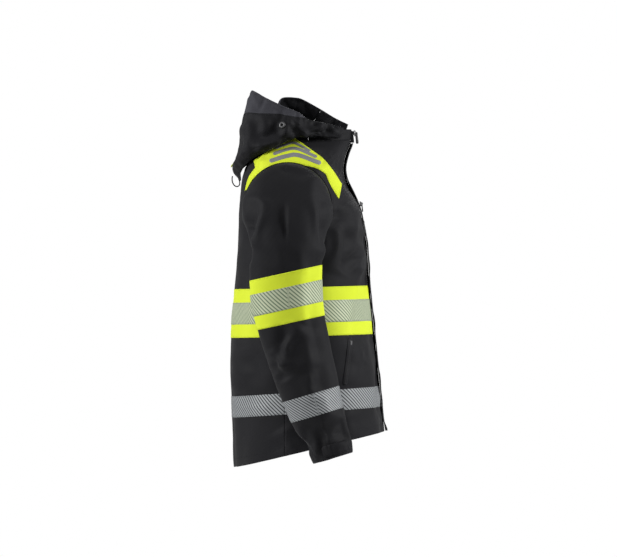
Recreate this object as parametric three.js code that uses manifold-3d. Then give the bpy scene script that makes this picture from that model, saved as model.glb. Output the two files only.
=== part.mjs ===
// Hooded high-visibility work coat, worn on an unseen body, in millimetres.
// +Z is up, the front faces -Y, the wearer's left is +X.
// The origin lies between the shoulders, at the base of the neck.

import * as THREE from 'three';
import { mergeVertices } from 'three/addons/utils/BufferGeometryUtils.js';
import Module from 'manifold-3d';

const wasm = await Module();
wasm.setup();

const DEG = Math.PI / 180;

// ---------------------------------------------------------------- driving dimensions

const CLEARANCE = 0.3; // gap between pieces that touch
const CLOTH = 2.4; // thickness of the shell fabric with its lining
const TRIM = 1.0; // thickness of a band or a tape sewn on top

// Torso, as level cross-sections from the neck down to below the hem
const TORSO_STATIONS = [
  { z: 0, half: 78, back: 62 },
  { z: -14, half: 106, back: 72 },
  { z: -32, half: 150, back: 86 },
  { z: -54, half: 198, back: 100 },
  { z: -84, half: 223, back: 110 },
  { z: -130, half: 232, back: 116 },
  { z: -230, half: 234, back: 119 },
  { z: -340, half: 234, back: 126 },
  { z: -475, half: 237, back: 136 },
  { z: -620, half: 241, back: 137 },
  { z: -800, half: 246, back: 133 },
];
const TORSO_SEGMENTS = 32; // facets round the torso
const TORSO_SQUARENESS = 2.35; // superellipse exponent of a cross-section
const SHOULDER_FOOT = -84; // above this height the cloth faces partly upwards

// Centre front: a straight line from the collar's top edge to the hem
const FRONT_TOP = { y: -149, z: 24 };
const FRONT_LEAN = 5.74 * DEG; // the line runs forward as it goes down
const PLACKET_LENGTH = 722;
const PLACKET_HALF_GAP = 7; // half of the gap between the two front panels

// Hem: back longer than front
const HEM_BACK = { y: 133, z: -786 };
const HEM_SLOPE = 86 / 360;

// Line where each front panel turns outwards, from beside the collar to the hem
const TURN_TOP = { x: 58, z: 30 };
const TURN_SLOPE = 0.218;
const TURN_GAP = 0.5;
const FRONT_BACK_LIMIT = -22; // the front panels stay in front of this
const SIDE_SEAM_Y = 12;

// Collar
const COLLAR_HEIGHT = 27;
const COLLAR_TOP_HALF = 72;
const COLLAR_TOP_BACK = 66;

// Armholes and sleeves
const SHOULDER = { y: 5, z: -161 };
const ARMHOLE_RADIUS = 106;
const ARMHOLE_DEPTH = 200; // the armhole is cut in outside this half width
const HEAD_CLEARANCE = 0.9;
const HEAD_INNER_X = 212;
const HEAD_STRAIGHT = 50;
const HEAD_DOME = 92;
const SLEEVE_SEGMENTS = 20;
const SLEEVE_STATIONS = [
  { z: -161, x: 302, y: 5, halfX: 56, halfY: 94 },
  { z: -225, x: 302, y: 5, halfX: 60, halfY: 88 },
  { z: -310, x: 303, y: 5, halfX: 62, halfY: 86 },
  { z: -400, x: 307, y: -2, halfX: 61, halfY: 84 },
  { z: -494, x: 313, y: -24, halfX: 58, halfY: 78 },
];
const ELBOW = { x: 313, y: -24, z: -494 };
const FOREARM_LEAN = 16.5 * DEG;
const FOREARM_START = 95;
const FOREARM_LENGTH = 278;
const FOREARM_STATIONS = [
  { d: -10, x: 0, half: [58, 78] },
  { d: 95, x: 8, half: [54, 71] },
  { d: 160, x: 13, half: [50, 64] },
  { d: 225, x: 17, half: [46, 56] },
  { d: FOREARM_LENGTH + 12, x: 20, half: [42, 48] },
];
const BAND_TILT = 12.5 * DEG; // the sleeve band rises to the front
const BAND_SLOPE = Math.tan(BAND_TILT);
const SLEEVE_END = -446; // height of the upper sleeve's end at its middle
const GUSSET = { upperY: -11 };
const SLEEVE_BAND = { top: -316, bottom: -438, tapeTop: -351, tapeBottom: -404 };
const FOREARM_TAPE = { top: 116, bottom: 169 };

// Bands and tapes round the torso: heights at the back and at the front
const TORSO_BAND = { topBack: -358, topFront: -349, bottomBack: -475, bottomFront: -466 };
const TORSO_TAPE = { topBack: -391, topFront: -381, bottomBack: -443, bottomFront: -434 };
const LOWER_TAPE = { topBack: -615, topFront: -592, bottomBack: -666, bottomFront: -642 };

// Zip, flap and fastenings
const CHAIN_HALF = 3.2;
const CHAIN_SPLIT = 0.9;
const CHAIN_DEPTH = 2.4;
const ZIP_TAPE_HALF = 17;
const SLIDER = { length: 15, half: 5.4, plate: 1.3, running: 0.5, bridge: 0.45 };
const PULLER = {
  pinReach: 1.2, pinZ: -5.5, pin: 0.35, eye: 0.75, reach: 0.7, fork: 1.6, half: 4.2, length: 27,
  thickness: 1.2,
};
const FLAP = {
  left: 22, right: -24, thickness: 2.4, standoff: 9.4, top: -33, bottom: -716, stand: 2.4,
};
const BAND_MARGIN = 1.5;
const CHEST_ZIP = { x: 46, top: -172, bottom: -296, width: 9, thickness: 1.6 };
const CHEST_SLIDER_DROP = { right: 0, left: 44 };
const POCKET = { top: [-144, -478], bottom: [-131, -583], width: 11, sliderGap: 0.2 };

// Hood
const HOOD_HALF = 128;
const HOOD_CLOTH = 2.4;
const NAPE = { height: 14, rimShare: 0.04, seam: 0.5, collarGap: 1.3, middleY: -44, arch: 4, cloth: 1.6, margin: 4 };
const HOOD_COLUMNS = 22;
const HOOD_ROWS = 5;
const BRIM_SHARE = 0.3; // top share of the hood's height that the brim takes
const HOOD_SWELL = 16; // how far the sides bulge between rim and edge
const HOOD_TIP = { y: 92, z: 119 }; // back of the opening's edge
const HOOD_CHEEK = { rimX: 80, rimY: -112, edgeX: 76, edgeY: -120, edgeZ: 38 };
const HOOD_RIM = { backY: 140, shoulderY: -11, shoulderZ: 3, frontZ: 14, slope: 0.42, drop: 25 };
const ADJUSTER = { around: 0.3, up: 0.52, radius: 8, thickness: 3.4 };
const HOOD_TAB = { half: 7, height: 12, thickness: 1.4, up: 0.14 };

// Hang loop
const LOOP = { half: 30, height: 20, bar: 7, depth: 7, front: 40 };

// ---------------------------------------------------------------- finishes

const FINISHES = {
  shell: { color: 0x1e1f22, roughness: 0.75, metalness: 0 },
  brim: { color: 0x35363a, roughness: 0.7, metalness: 0 },
  yellow: { color: 0xd8f23a, roughness: 0.8, metalness: 0 },
  tape: { color: 0xb9bcb8, roughness: 0.4, metalness: 0.1 },
  plastic: { color: 0x141416, roughness: 0.5, metalness: 0 },
  metal: { color: 0x2b2c2f, roughness: 0.4, metalness: 0.8 },
  elastic: { color: 0x17181a, roughness: 0.9, metalness: 0 },
};

// ---------------------------------------------------------------- solids from meshes

/** Turn closed geometry into a solid that can be joined and cut. */
function toSolid(geometry) {
  const plain = geometry.clone();
  plain.deleteAttribute('normal');
  plain.deleteAttribute('uv');
  const merged = mergeVertices(plain, 1e-4);
  const vertProperties = new Float32Array(merged.attributes.position.array);
  const triVerts = new Uint32Array(merged.index.array);
  return new wasm.Manifold(new wasm.Mesh({ numProp: 3, vertProperties, triVerts }));
}

/** Turn a solid back into geometry. */
function toGeometry(solid) {
  const mesh = solid.getMesh();
  const geometry = new THREE.BufferGeometry();
  geometry.setAttribute('position', new THREE.BufferAttribute(mesh.vertProperties, 3));
  geometry.setIndex(new THREE.BufferAttribute(mesh.triVerts, 1));
  geometry.computeVertexNormals();
  return geometry;
}

/** Add a named sub-part to a group. */
function addPart(parent, name, shape, finish) {
  const geometry = shape.isBufferGeometry ? shape : toGeometry(shape);
  const mesh = new THREE.Mesh(geometry, new THREE.MeshStandardMaterial(FINISHES[finish]));
  mesh.name = name;
  parent.add(mesh);
  return mesh;
}

/** Closed skin over equal rings of points; the end rings are capped from their middles. */
function loft(rings) {
  const count = rings[0].length;
  const positions = rings.flat();
  const indices = [];
  for (let row = 0; row + 1 < rings.length; row += 1) {
    for (let i = 0; i < count; i += 1) {
      const next = (i + 1) % count;
      const a = row * count + i;
      const b = row * count + next;
      const c = (row + 1) * count + next;
      const d = (row + 1) * count + i;
      indices.push(a, b, c, a, c, d);
    }
  }
  for (const [row, flip] of [[0, true], [rings.length - 1, false]]) {
    const middle = positions.length;
    const sum = rings[row].reduce((total, p) => total.add(p), new THREE.Vector3());
    positions.push(sum.divideScalar(count));
    for (let i = 0; i < count; i += 1) {
      const a = row * count + i;
      const b = row * count + ((i + 1) % count);
      indices.push(...(flip ? [middle, b, a] : [middle, a, b]));
    }
  }
  return facingOut(positions, indices);
}

/** Geometry from points and triangles, turned so that its faces point outwards. */
function facingOut(positions, indices) {
  const volume = indices.reduce((total, _, k) => {
    if (k % 3) return total;
    const [a, b, c] = [0, 1, 2].map((i) => positions[indices[k + i]]);
    return total + new THREE.Vector3().crossVectors(b, c).dot(a);
  }, 0);
  const ordered = volume > 0 ? indices : indices.slice().reverse();
  const geometry = new THREE.BufferGeometry().setFromPoints(positions);
  geometry.setIndex(ordered);
  return geometry;
}

/** Closed sheet of even thickness over a grid of points, thickened along its normals. */
function thickGrid(point, columns, rows, thickness) {
  const at = (i, j) => point(i / columns, j / rows);
  const front = [];
  const back = [];
  for (let j = 0; j <= rows; j += 1) {
    for (let i = 0; i <= columns; i += 1) {
      const along = at(Math.min(i + 1, columns), j).sub(at(Math.max(i - 1, 0), j));
      const up = at(i, Math.min(j + 1, rows)).sub(at(i, Math.max(j - 1, 0)));
      const normal = along.cross(up).normalize();
      front.push(at(i, j));
      back.push(at(i, j).addScaledVector(normal, -thickness));
    }
  }
  const width = columns + 1;
  const offset = front.length;
  const indices = [];
  const quad = (a, b, c, d) => indices.push(a, b, c, a, c, d);
  for (let j = 0; j < rows; j += 1) {
    for (let i = 0; i < columns; i += 1) {
      const a = j * width + i;
      quad(a, a + 1, a + 1 + width, a + width);
      quad(offset + a, offset + a + width, offset + a + 1 + width, offset + a + 1);
    }
  }
  for (let i = 0; i < columns; i += 1) {
    const top = rows * width + i;
    quad(i, offset + i, offset + i + 1, i + 1);
    quad(top, top + 1, offset + top + 1, offset + top);
  }
  for (let j = 0; j < rows; j += 1) {
    const a = j * width;
    const b = a + columns;
    quad(a, a + width, offset + a + width, offset + a);
    quad(b, offset + b, offset + b + width, b + width);
  }
  return facingOut([...front, ...back], indices);
}

/** Prism of a side-view outline (y, z), from one x to another. */
function sidePrism(shape, fromX, toX) {
  const geometry = new THREE.ExtrudeGeometry(shape, { depth: toX - fromX, bevelEnabled: false });
  const turn = new THREE.Matrix4().makeBasis(
    new THREE.Vector3(0, 1, 0), new THREE.Vector3(0, 0, 1), new THREE.Vector3(1, 0, 0));
  return geometry.applyMatrix4(turn).translate(fromX, 0, 0);
}

/** Prism of a front-view outline (x, z), from one y to another. */
function frontPrism(shape, fromY, toY) {
  const geometry = new THREE.ExtrudeGeometry(shape, { depth: toY - fromY, bevelEnabled: false });
  const turn = new THREE.Matrix4().makeBasis(
    new THREE.Vector3(1, 0, 0), new THREE.Vector3(0, 0, 1), new THREE.Vector3(0, -1, 0));
  return geometry.applyMatrix4(turn).translate(0, toY, 0);
}

/** Block between two corners. */
function block(low, high) {
  const size = high.map((value, i) => value - low[i]);
  const middle = high.map((value, i) => (value + low[i]) / 2);
  return new THREE.BoxGeometry(...size).translate(...middle);
}

/** Outline of a ribbon of even width along a smooth curve, with round ends. */
function ribbon(points, width, steps = 10) {
  const curve = new THREE.SplineCurve(points.map(([y, z]) => new THREE.Vector2(y, z)));
  const half = width / 2;
  const left = [];
  const right = [];
  for (let i = 0; i <= steps; i += 1) {
    const p = curve.getPoint(i / steps);
    const t = curve.getTangent(i / steps);
    left.push(new THREE.Vector2(p.x - t.y * half, p.y + t.x * half));
    right.unshift(new THREE.Vector2(p.x + t.y * half, p.y - t.x * half));
  }
  const cap = (u, direction) => {
    const p = curve.getPoint(u);
    const t = curve.getTangent(u).multiplyScalar(direction);
    return new THREE.Vector2(p.x + t.x * half * 0.8, p.y + t.y * half * 0.8);
  };
  return new THREE.Shape([...left, cap(1, 1), ...right, cap(0, -1)]);
}

/** Keep what lies between two heights, each given at the back and at the front. */
function betweenHeights(solid, top, bottom, backY, frontY) {
  const plane = ([back, front]) => {
    const slope = (back - front) / (backY - frontY);
    const normal = new THREE.Vector3(0, -slope, 1).normalize();
    return { normal, offset: normal.dot(new THREE.Vector3(0, backY, back)) };
  };
  const high = plane(top);
  const low = plane(bottom);
  const keepBelow = solid.trimByPlane(high.normal.clone().negate().toArray(), -high.offset);
  return keepBelow.trimByPlane(low.normal.toArray(), low.offset);
}

// ---------------------------------------------------------------- torso

/** Front surface of the torso at the middle, by height. */
const frontY = (z) => FRONT_TOP.y + (z - FRONT_TOP.z) * Math.tan(FRONT_LEAN);

/** How far the cloth faces upwards at a height, from 0 to 1. */
const upward = (z) => THREE.MathUtils.clamp(1 - z / SHOULDER_FOOT, 0, 1);

/** One level ring of the torso, moved outwards by an offset. */
function torsoRing({ z, half, back }, offset) {
  const middle = (back + frontY(z)) / 2;
  const depth = (back - frontY(z)) / 2 + offset;
  const width = half + offset;
  const power = 2 / TORSO_SQUARENESS;
  const bend = (value) => Math.sign(value) * Math.abs(value) ** power;
  return Array.from({ length: TORSO_SEGMENTS }, (_, i) => {
    const angle = ((i + 0.5) / TORSO_SEGMENTS) * 2 * Math.PI;
    const x = width * bend(Math.cos(angle));
    const y = middle + depth * bend(Math.sin(angle));
    return new THREE.Vector3(x, y, z + offset * upward(z));
  });
}

/** Solid torso, grown by an offset; the open ends reach further when it is a cutter. */
function torsoSolid(offset, overshoot = 0) {
  const rings = TORSO_STATIONS.map((station) => torsoRing(station, offset));
  if (overshoot) {
    rings.unshift(rings[0].map((p) => p.clone().setZ(overshoot)));
    rings.push(rings.at(-1).map((p) => p.clone().setZ(TORSO_STATIONS.at(-1).z - overshoot)));
  }
  return toSolid(loft(rings));
}

/** Hollow layer of the torso between two offsets, with armholes and hem cut. */
function torsoLayer(inner, outer) {
  const layer = torsoSolid(outer).subtract(torsoSolid(inner, 30));
  const armholes = [-1, 1].map((side) => {
    const hole = new THREE.CylinderGeometry(ARMHOLE_RADIUS, ARMHOLE_RADIUS, 100, 32);
    hole.rotateZ(Math.PI / 2).translate(side * (ARMHOLE_DEPTH + 50), SHOULDER.y, SHOULDER.z);
    return toSolid(hole);
  });
  const hem = new THREE.Vector3(0, HEM_SLOPE, 1).normalize();
  const hemOffset = hem.dot(new THREE.Vector3(0, HEM_BACK.y, HEM_BACK.z));
  return layer.subtract(armholes[0]).subtract(armholes[1]).trimByPlane(hem.toArray(), hemOffset);
}

/** Half width of the turning line at a height. */
const turnX = (z) => TURN_TOP.x + (TURN_TOP.z - z) * TURN_SLOPE;

/** Block of space that one front panel takes, seen from the front. */
function frontZone(side, innerX, grow) {
  const top = 90;
  const bottom = -830;
  const shape = new THREE.Shape([
    new THREE.Vector2(side * innerX, top),
    new THREE.Vector2(side * innerX, bottom),
    new THREE.Vector2(side * (turnX(bottom) + grow), bottom),
    new THREE.Vector2(side * (turnX(top) + grow), top),
  ]);
  return toSolid(frontPrism(shape, -320, FRONT_BACK_LIMIT + grow));
}

const ZONES = {
  right: frontZone(-1, PLACKET_HALF_GAP, 0),
  left: frontZone(1, PLACKET_HALF_GAP, 0),
};
const BOTH_FRONTS = frontZone(-1, -1, TURN_GAP).add(frontZone(1, -1, TURN_GAP));

/** Side-view outline of the yellow shoulder patch, ended by the armhole's edge. */
function yokeOutline() {
  const shape = new THREE.Shape();
  shape.moveTo(108, -124);
  shape.quadraticCurveTo(100, -84, 83, -67);
  shape.lineTo(87, -49);
  shape.quadraticCurveTo(62, -20, 40, 12);
  shape.lineTo(-10, 12);
  shape.lineTo(-79, -45);
  shape.quadraticCurveTo(-106, -76, -124, -108);
  shape.lineTo(-117, -144);
  shape.quadraticCurveTo(-104, -106, -86, -86);
  const start = Math.atan2(-86 - SHOULDER.z, -86 - SHOULDER.y);
  const end = Math.atan2(-124 - SHOULDER.z, 108 - SHOULDER.y);
  for (let i = 1; i < 8; i += 1) {
    const angle = start + ((end - start) * i) / 8;
    const reach = ARMHOLE_RADIUS - 4;
    shape.lineTo(SHOULDER.y + reach * Math.cos(angle), SHOULDER.z + reach * Math.sin(angle));
  }
  return shape;
}

const SHOULDER_BARS = [
  [[46, -50], [7, -40], [-22, -38], [-72, -58]],
  [[40, -34], [10, -23], [-16, -19], [-61, -42]],
  [[34, -17], [10, -9], [-11, -6], [-52, -28]],
];
const BAR_WIDTHS = [10, 7.5, 6];

/** Torso panels, shoulder patches, bands and tapes that don't turn with the fronts. */
function buildTorso(torso, cloth, trim, tape) {
  const rest = cloth.subtract(BOTH_FRONTS);
  const back = rest.trimByPlane([0, 1, 0], SIDE_SEAM_Y + CLEARANCE);
  const sides = rest.trimByPlane([0, -1, 0], -SIDE_SEAM_Y);
  addPart(torso, 'back_panel', back, 'shell');
  addPart(torso, 'right_side_panel', sides.trimByPlane([-1, 0, 0], 0), 'shell');
  addPart(torso, 'left_side_panel', sides.trimByPlane([1, 0, 0], 0), 'shell');

  const patch = toSolid(sidePrism(yokeOutline(), 0, 240));
  for (const [name, side] of [['right', -1], ['left', 1]]) {
    const zone = side > 0 ? patch : patch.mirror([1, 0, 0]);
    const yoke = trim.subtract(BOTH_FRONTS).intersect(zone);
    addPart(torso, `${name}_shoulder_yoke`, yoke, 'yellow');
    SHOULDER_BARS.forEach((line, i) => {
      const bar = toSolid(sidePrism(ribbon(line, BAR_WIDTHS[i]), 62, 240));
      const strip = tape.intersect(side > 0 ? bar : bar.mirror([1, 0, 0]));
      addPart(torso, `${name}_shoulder_bar_${i + 1}`, strip, 'tape');
    });
  }
  addPart(torso, 'back_upper_band', torsoStripe(trim, TORSO_BAND).subtract(BOTH_FRONTS), 'yellow');
  addPart(torso, 'back_upper_tape', torsoStripe(tape, TORSO_TAPE).subtract(BOTH_FRONTS), 'tape');
  addPart(torso, 'back_lower_tape', torsoStripe(trim, LOWER_TAPE).subtract(BOTH_FRONTS), 'tape');
}

/** Part of a torso layer between a band's edges. */
function torsoStripe(layer, edges) {
  const top = [edges.topBack, edges.topFront];
  const bottom = [edges.bottomBack, edges.bottomFront];
  return betweenHeights(layer, top, bottom, 130, -200);
}

/** Half width and back of the collar at a height. */
function collarSection(z) {
  const share = z / COLLAR_HEIGHT;
  const half = THREE.MathUtils.lerp(TORSO_STATIONS[0].half, COLLAR_TOP_HALF, share);
  return { z, half, back: THREE.MathUtils.lerp(TORSO_STATIONS[0].back, COLLAR_TOP_BACK, share) };
}

/** Standing collar as a hollow ring. */
function collarRing() {
  const ring = (z, offset) => torsoRing(collarSection(z), offset).map((p) => p.setZ(z));
  const base = CLEARANCE;
  const outer = toSolid(loft([ring(base, 0), ring(COLLAR_HEIGHT, 0)]));
  const inner = toSolid(loft([ring(base - 10, -CLOTH), ring(COLLAR_HEIGHT + 10, -CLOTH)]));
  return outer.subtract(inner);
}

/** Ribbon loop inside the back of the neck, by which the coat hangs on a hook. */
function hangLoop() {
  const { half, height, bar, depth, front } = LOOP;
  const arch = new THREE.Shape([
    new THREE.Vector2(-half, 1),
    new THREE.Vector2(-half, height),
    new THREE.Vector2(half, height),
    new THREE.Vector2(half, 1),
    new THREE.Vector2(half - bar, 1),
    new THREE.Vector2(half - bar, height - bar),
    new THREE.Vector2(bar - half, height - bar),
    new THREE.Vector2(bar - half, 1),
  ]);
  let loop = toSolid(frontPrism(arch, front, front + depth));
  const wall = TORSO_STATIONS[0].back;
  for (const side of [-1, 1]) {
    const x = side * (half - bar / 2);
    const foot = block([x - bar / 2, front + 1, 1], [x + bar / 2, wall + 10, 7]);
    loop = loop.add(toSolid(foot));
  }
  const { z, half: neckHalf, back } = TORSO_STATIONS[0];
  const inside = (height_) =>
    torsoRing({ z, half: neckHalf, back }, -CLOTH - CLEARANCE).map((p) => p.setZ(height_));
  return loop.intersect(toSolid(loft([inside(-5), inside(COLLAR_HEIGHT)])));
}

// ---------------------------------------------------------------- front panels and zip

/** A front panel with its collar part, bands, tapes and chest pocket zip. */
function buildFront(group, name, side, layers, collar, placket) {
  const zone = ZONES[name];
  const panel = layers.cloth.intersect(zone);
  addPart(group, `${name}_front_panel`, side > 0 ? panel.add(flapStand()) : panel, 'shell');
  addPart(group, `${name}_collar_front`, collar.intersect(zone), 'shell');
  addPart(group, `${name}_upper_band`,
    torsoStripe(layers.trim, TORSO_BAND).intersect(bandZone(name)), 'yellow');
  addPart(group, `${name}_upper_tape`,
    torsoStripe(layers.tape, TORSO_TAPE).intersect(bandZone(name)), 'tape');
  addPart(group, `${name}_lower_tape`,
    torsoStripe(layers.trim, LOWER_TAPE).intersect(bandZone(name)), 'tape');

  const inner = side * CHAIN_SPLIT;
  const outer = side * CHAIN_HALF;
  const edge = side * ZIP_TAPE_HALF;
  const xs = (a, b) => [Math.min(a, b), Math.max(a, b)];
  const [chainLow, chainHigh] = xs(inner, outer);
  const [tapeLow, tapeHigh] = xs(outer - side * 0.4, edge);
  const chain = block([chainLow, -CHAIN_DEPTH - CLEARANCE - TRIM, -PLACKET_LENGTH + 8],
    [chainHigh, -CLEARANCE, -4]);
  const ribbonTape = block([tapeLow, -CLEARANCE - TRIM, -PLACKET_LENGTH + 8],
    [tapeHigh, -CLEARANCE, -2]);
  const zip = new THREE.Group();
  zip.position.copy(placket.position);
  zip.rotation.copy(placket.rotation);
  group.add(zip);
  addPart(zip, `${name}_zip_half`, toSolid(chain).add(toSolid(ribbonTape)), 'plastic');
  return zip;
}

/** Space of the bands on one front, which stop short of the zip and of the flap's seam. */
function bandZone(name) {
  const onLeft = name === 'left';
  const inner = (onLeft ? FLAP.left : ZIP_TAPE_HALF) + BAND_MARGIN;
  return frontZone(onLeft ? 1 : -1, inner, -CLEARANCE / 2);
}

/** Folded edge of the left front on which the flap is sewn. */
function flapStand() {
  const { left, standoff, top, bottom, stand } = FLAP;
  const fold = block([left - stand, -standoff + CLEARANCE, bottom + 12], [left, 2, top]);
  const frame = placketFrame();
  frame.updateMatrix();
  return toSolid(fold.applyMatrix4(frame.matrix));
}

/** Group that stands at the top of the placket, its Z axis along the centre front. */
function placketFrame() {
  const frame = new THREE.Group();
  frame.position.set(0, FRONT_TOP.y, FRONT_TOP.z);
  frame.rotation.x = -FRONT_LEAN;
  return frame;
}

/** Depth of the pin that the puller turns on, in front of the slider's plate. */
const PIN_Y = -CHAIN_DEPTH - CLEARANCE - TRIM - SLIDER.running - SLIDER.plate - PULLER.pinReach;

/**
 * Zip slider: two plates either side of the chain, joined between its halves. The back plate
 * holds the right half only, so that the fronts can part wherever the slider stands.
 */
function slider() {
  const { length, half, plate, running, bridge } = SLIDER;
  const frontFace = -CHAIN_DEPTH - CLEARANCE - TRIM - running;
  const backFace = -CLEARANCE + running;
  const { pinZ, eye } = PULLER;
  const front = block([-half, frontFace - plate, -length], [half, frontFace, 0]);
  const back = block([-half, backFace, -length], [bridge, backFace + plate, 0]);
  const web = block([-bridge, frontFace - 0.2, -length + 4], [bridge, backFace + 0.2, -1]);
  const bail = block([-1.2, PIN_Y - eye - 0.8, -length + 3], [1.2, frontFace - 0.5, -2]);
  const hole = block([-3, PIN_Y - eye, pinZ - eye], [3, PIN_Y + eye, pinZ + eye]);
  const body = toSolid(front).add(toSolid(back)).add(toSolid(web)).add(toSolid(bail));
  return body.subtract(toSolid(hole));
}

/** Puller: a tab whose fork holds the slider's bail on a pin. */
function puller() {
  const { pinZ, pin, reach, fork, half, length, thickness } = PULLER;
  const shape = new THREE.Shape([
    new THREE.Vector2(-half, reach), new THREE.Vector2(-fork, reach),
    new THREE.Vector2(-fork, -12), new THREE.Vector2(fork, -12),
    new THREE.Vector2(fork, reach), new THREE.Vector2(half, reach),
    new THREE.Vector2(half, -12), new THREE.Vector2(half + 0.8, -16),
    new THREE.Vector2(half, -length), new THREE.Vector2(-half, -length),
    new THREE.Vector2(-half - 0.8, -16), new THREE.Vector2(-half, -12),
  ]);
  const tab = frontPrism(shape, PIN_Y - thickness / 2, PIN_Y + thickness / 2).translate(0, 0, pinZ);
  const rod = block([-fork - 1, PIN_Y - pin, pinZ - pin], [fork + 1, PIN_Y + pin, pinZ + pin]);
  return toSolid(tab).add(toSolid(rod));
}

/** Flap over the zip, with a rounded top and bottom. */
function stormFlap() {
  const { left, right, thickness, standoff, top, bottom } = FLAP;
  const shape = new THREE.Shape();
  const corner = 10;
  shape.moveTo(left, bottom);
  shape.lineTo(left, top);
  shape.lineTo(right + corner, top);
  shape.quadraticCurveTo(right, top, right, top - corner);
  shape.lineTo(right, bottom + corner);
  shape.quadraticCurveTo(right, bottom, right + corner, bottom);
  return frontPrism(shape, -standoff - thickness, -standoff);
}

/** Short zip on a chest, straight along the placket's direction. */
function chestZip(zip, sliderGroup, name, side) {
  const { x, top, bottom, width, thickness } = CHEST_ZIP;
  const seat = 0.9; // the cloth curves back this far beside the placket
  const strip = block([side * x - width / 2, seat - thickness, bottom],
    [side * x + width / 2, seat, top]);
  addPart(zip, `${name}_chest_zip`, strip, 'plastic');
  const drop = CHEST_SLIDER_DROP[name];
  const run = block([side * x - 3.4, seat - thickness - CLEARANCE - 3, top - drop - 12],
    [side * x + 3.4, seat - thickness - CLEARANCE, top - drop]);
  const pull = block([side * x - 2.2, seat - thickness - 7.5, top - drop - 26],
    [side * x + 2.2, seat - thickness - 2.6, top - drop - 3]);
  addPart(sliderGroup, `${name}_chest_slider`, toSolid(run).add(toSolid(pull)), 'metal');
}

/** Hand pocket zip on a side panel, and its slider. */
function handPocket(torso, name, side, trimLayer) {
  const shape = ribbon([POCKET.top, [-138, -531], POCKET.bottom], POCKET.width, 6);
  const prism = toSolid(sidePrism(shape, 150, 250));
  const zone = side > 0 ? prism : prism.mirror([1, 0, 0]);
  addPart(torso, `${name}_pocket_zip`, trimLayer.intersect(zone).subtract(BOTH_FRONTS), 'plastic');
}

/** Half width, depth and middle of the torso's cross-section at a height. */
function sectionAt(z) {
  const above = TORSO_STATIONS.findLast((station) => station.z >= z);
  const below = TORSO_STATIONS.find((station) => station.z < z);
  const share = (z - above.z) / (below.z - above.z);
  const half = THREE.MathUtils.lerp(above.half, below.half, share);
  const back = THREE.MathUtils.lerp(above.back, below.back, share);
  return { half, middle: (back + frontY(z)) / 2, depth: (back - frontY(z)) / 2 };
}

/** Half width of the torso at a depth and a height. */
function surfaceX(y, z) {
  const { half, middle, depth } = sectionAt(z);
  const reach = Math.abs((y - middle) / depth) ** TORSO_SQUARENESS;
  return half * (1 - reach) ** (1 / TORSO_SQUARENESS);
}

/** Outward direction of the torso's front at a depth and a height. */
function surfaceNormal(side, y, z) {
  const { half, middle, depth } = sectionAt(z);
  const power = TORSO_SQUARENESS - 1;
  const across = (surfaceX(y, z) / half) ** power / half;
  const along = -(Math.abs((y - middle) / depth) ** power) / depth;
  return new THREE.Vector3(side * across, along, 0).normalize();
}

/** Slider of a hand pocket's zip, square to the pocket's line and clear of it all the way. */
function pocketSlider(side) {
  const onSurface = (share) => {
    const y = THREE.MathUtils.lerp(POCKET.top[0], POCKET.bottom[0], share);
    const z = THREE.MathUtils.lerp(POCKET.top[1], POCKET.bottom[1], share);
    return new THREE.Vector3(side * surfaceX(y, z), y, z);
  };
  const high = onSurface(0);
  const low = onSurface(1);
  const up = high.clone().sub(low).normalize();
  const outward = surfaceNormal(side, (high.y + low.y) / 2, (high.z + low.z) / 2);
  outward.addScaledVector(up, -outward.dot(up)).normalize();
  const heights = [0, 0.25, 0.5, 0.75, 1].map((share) => onSurface(share).sub(high).dot(outward));
  const seat = Math.max(...heights) + TRIM + POCKET.sliderGap;
  const across = new THREE.Vector3().crossVectors(outward, up);
  const frame = new THREE.Group();
  frame.setRotationFromMatrix(new THREE.Matrix4().makeBasis(across, outward, up));
  frame.position.copy(high).addScaledVector(outward, seat);
  const run = block([-3.4, 0, -16], [3.4, 3, -4]);
  const pull = block([-2, 2.6, -38], [2, 4.6, -8]);
  return { frame, solid: toSolid(run).add(toSolid(pull)), up };
}

// ---------------------------------------------------------------- sleeves

/** Oval ring round a sleeve, moved outwards by an offset. */
function sleeveRing(centre, halfX, halfY, offset, tilt = 0) {
  return Array.from({ length: SLEEVE_SEGMENTS }, (_, i) => {
    const angle = ((i + 0.5) / SLEEVE_SEGMENTS) * 2 * Math.PI;
    const y = (halfY + offset) * Math.sin(angle);
    return new THREE.Vector3(
      centre.x + (halfX + offset) * Math.cos(angle), centre.y + y, centre.z - y * tilt);
  });
}

/** Sleeve head: a dome turned about the shoulder's axis, open towards the body. */
function headSolid(offset, overshoot) {
  const radius = ARMHOLE_RADIUS - HEAD_CLEARANCE + offset;
  const profile = [new THREE.Vector2(0, -overshoot), new THREE.Vector2(radius, -overshoot)];
  const steps = 6;
  for (let i = 0; i <= steps; i += 1) {
    const angle = (i / steps) * 90 * DEG;
    const across = i === steps ? 0 : radius * Math.cos(angle);
    profile.push(new THREE.Vector2(across, HEAD_STRAIGHT + (HEAD_DOME + offset) * Math.sin(angle)));
  }
  const dome = new THREE.LatheGeometry(profile, 26);
  dome.rotateZ(-Math.PI / 2).translate(HEAD_INNER_X, SHOULDER.y, SHOULDER.z);
  return toSolid(dome);
}

/** Upper sleeve as a solid, grown by an offset. */
function sleeveSolid(offset, overshoot = 0) {
  const rings = SLEEVE_STATIONS.map((s) => sleeveRing(s, s.halfX, s.halfY, offset));
  if (overshoot) rings.push(rings.at(-1).map((p) => p.clone().setZ(p.z - overshoot)));
  return headSolid(offset, overshoot).add(toSolid(loft(rings)));
}

/** Layer of the upper sleeve between two offsets. */
function sleeveLayer(inner, outer) {
  return sleeveSolid(outer).subtract(sleeveSolid(inner, 20));
}

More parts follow.
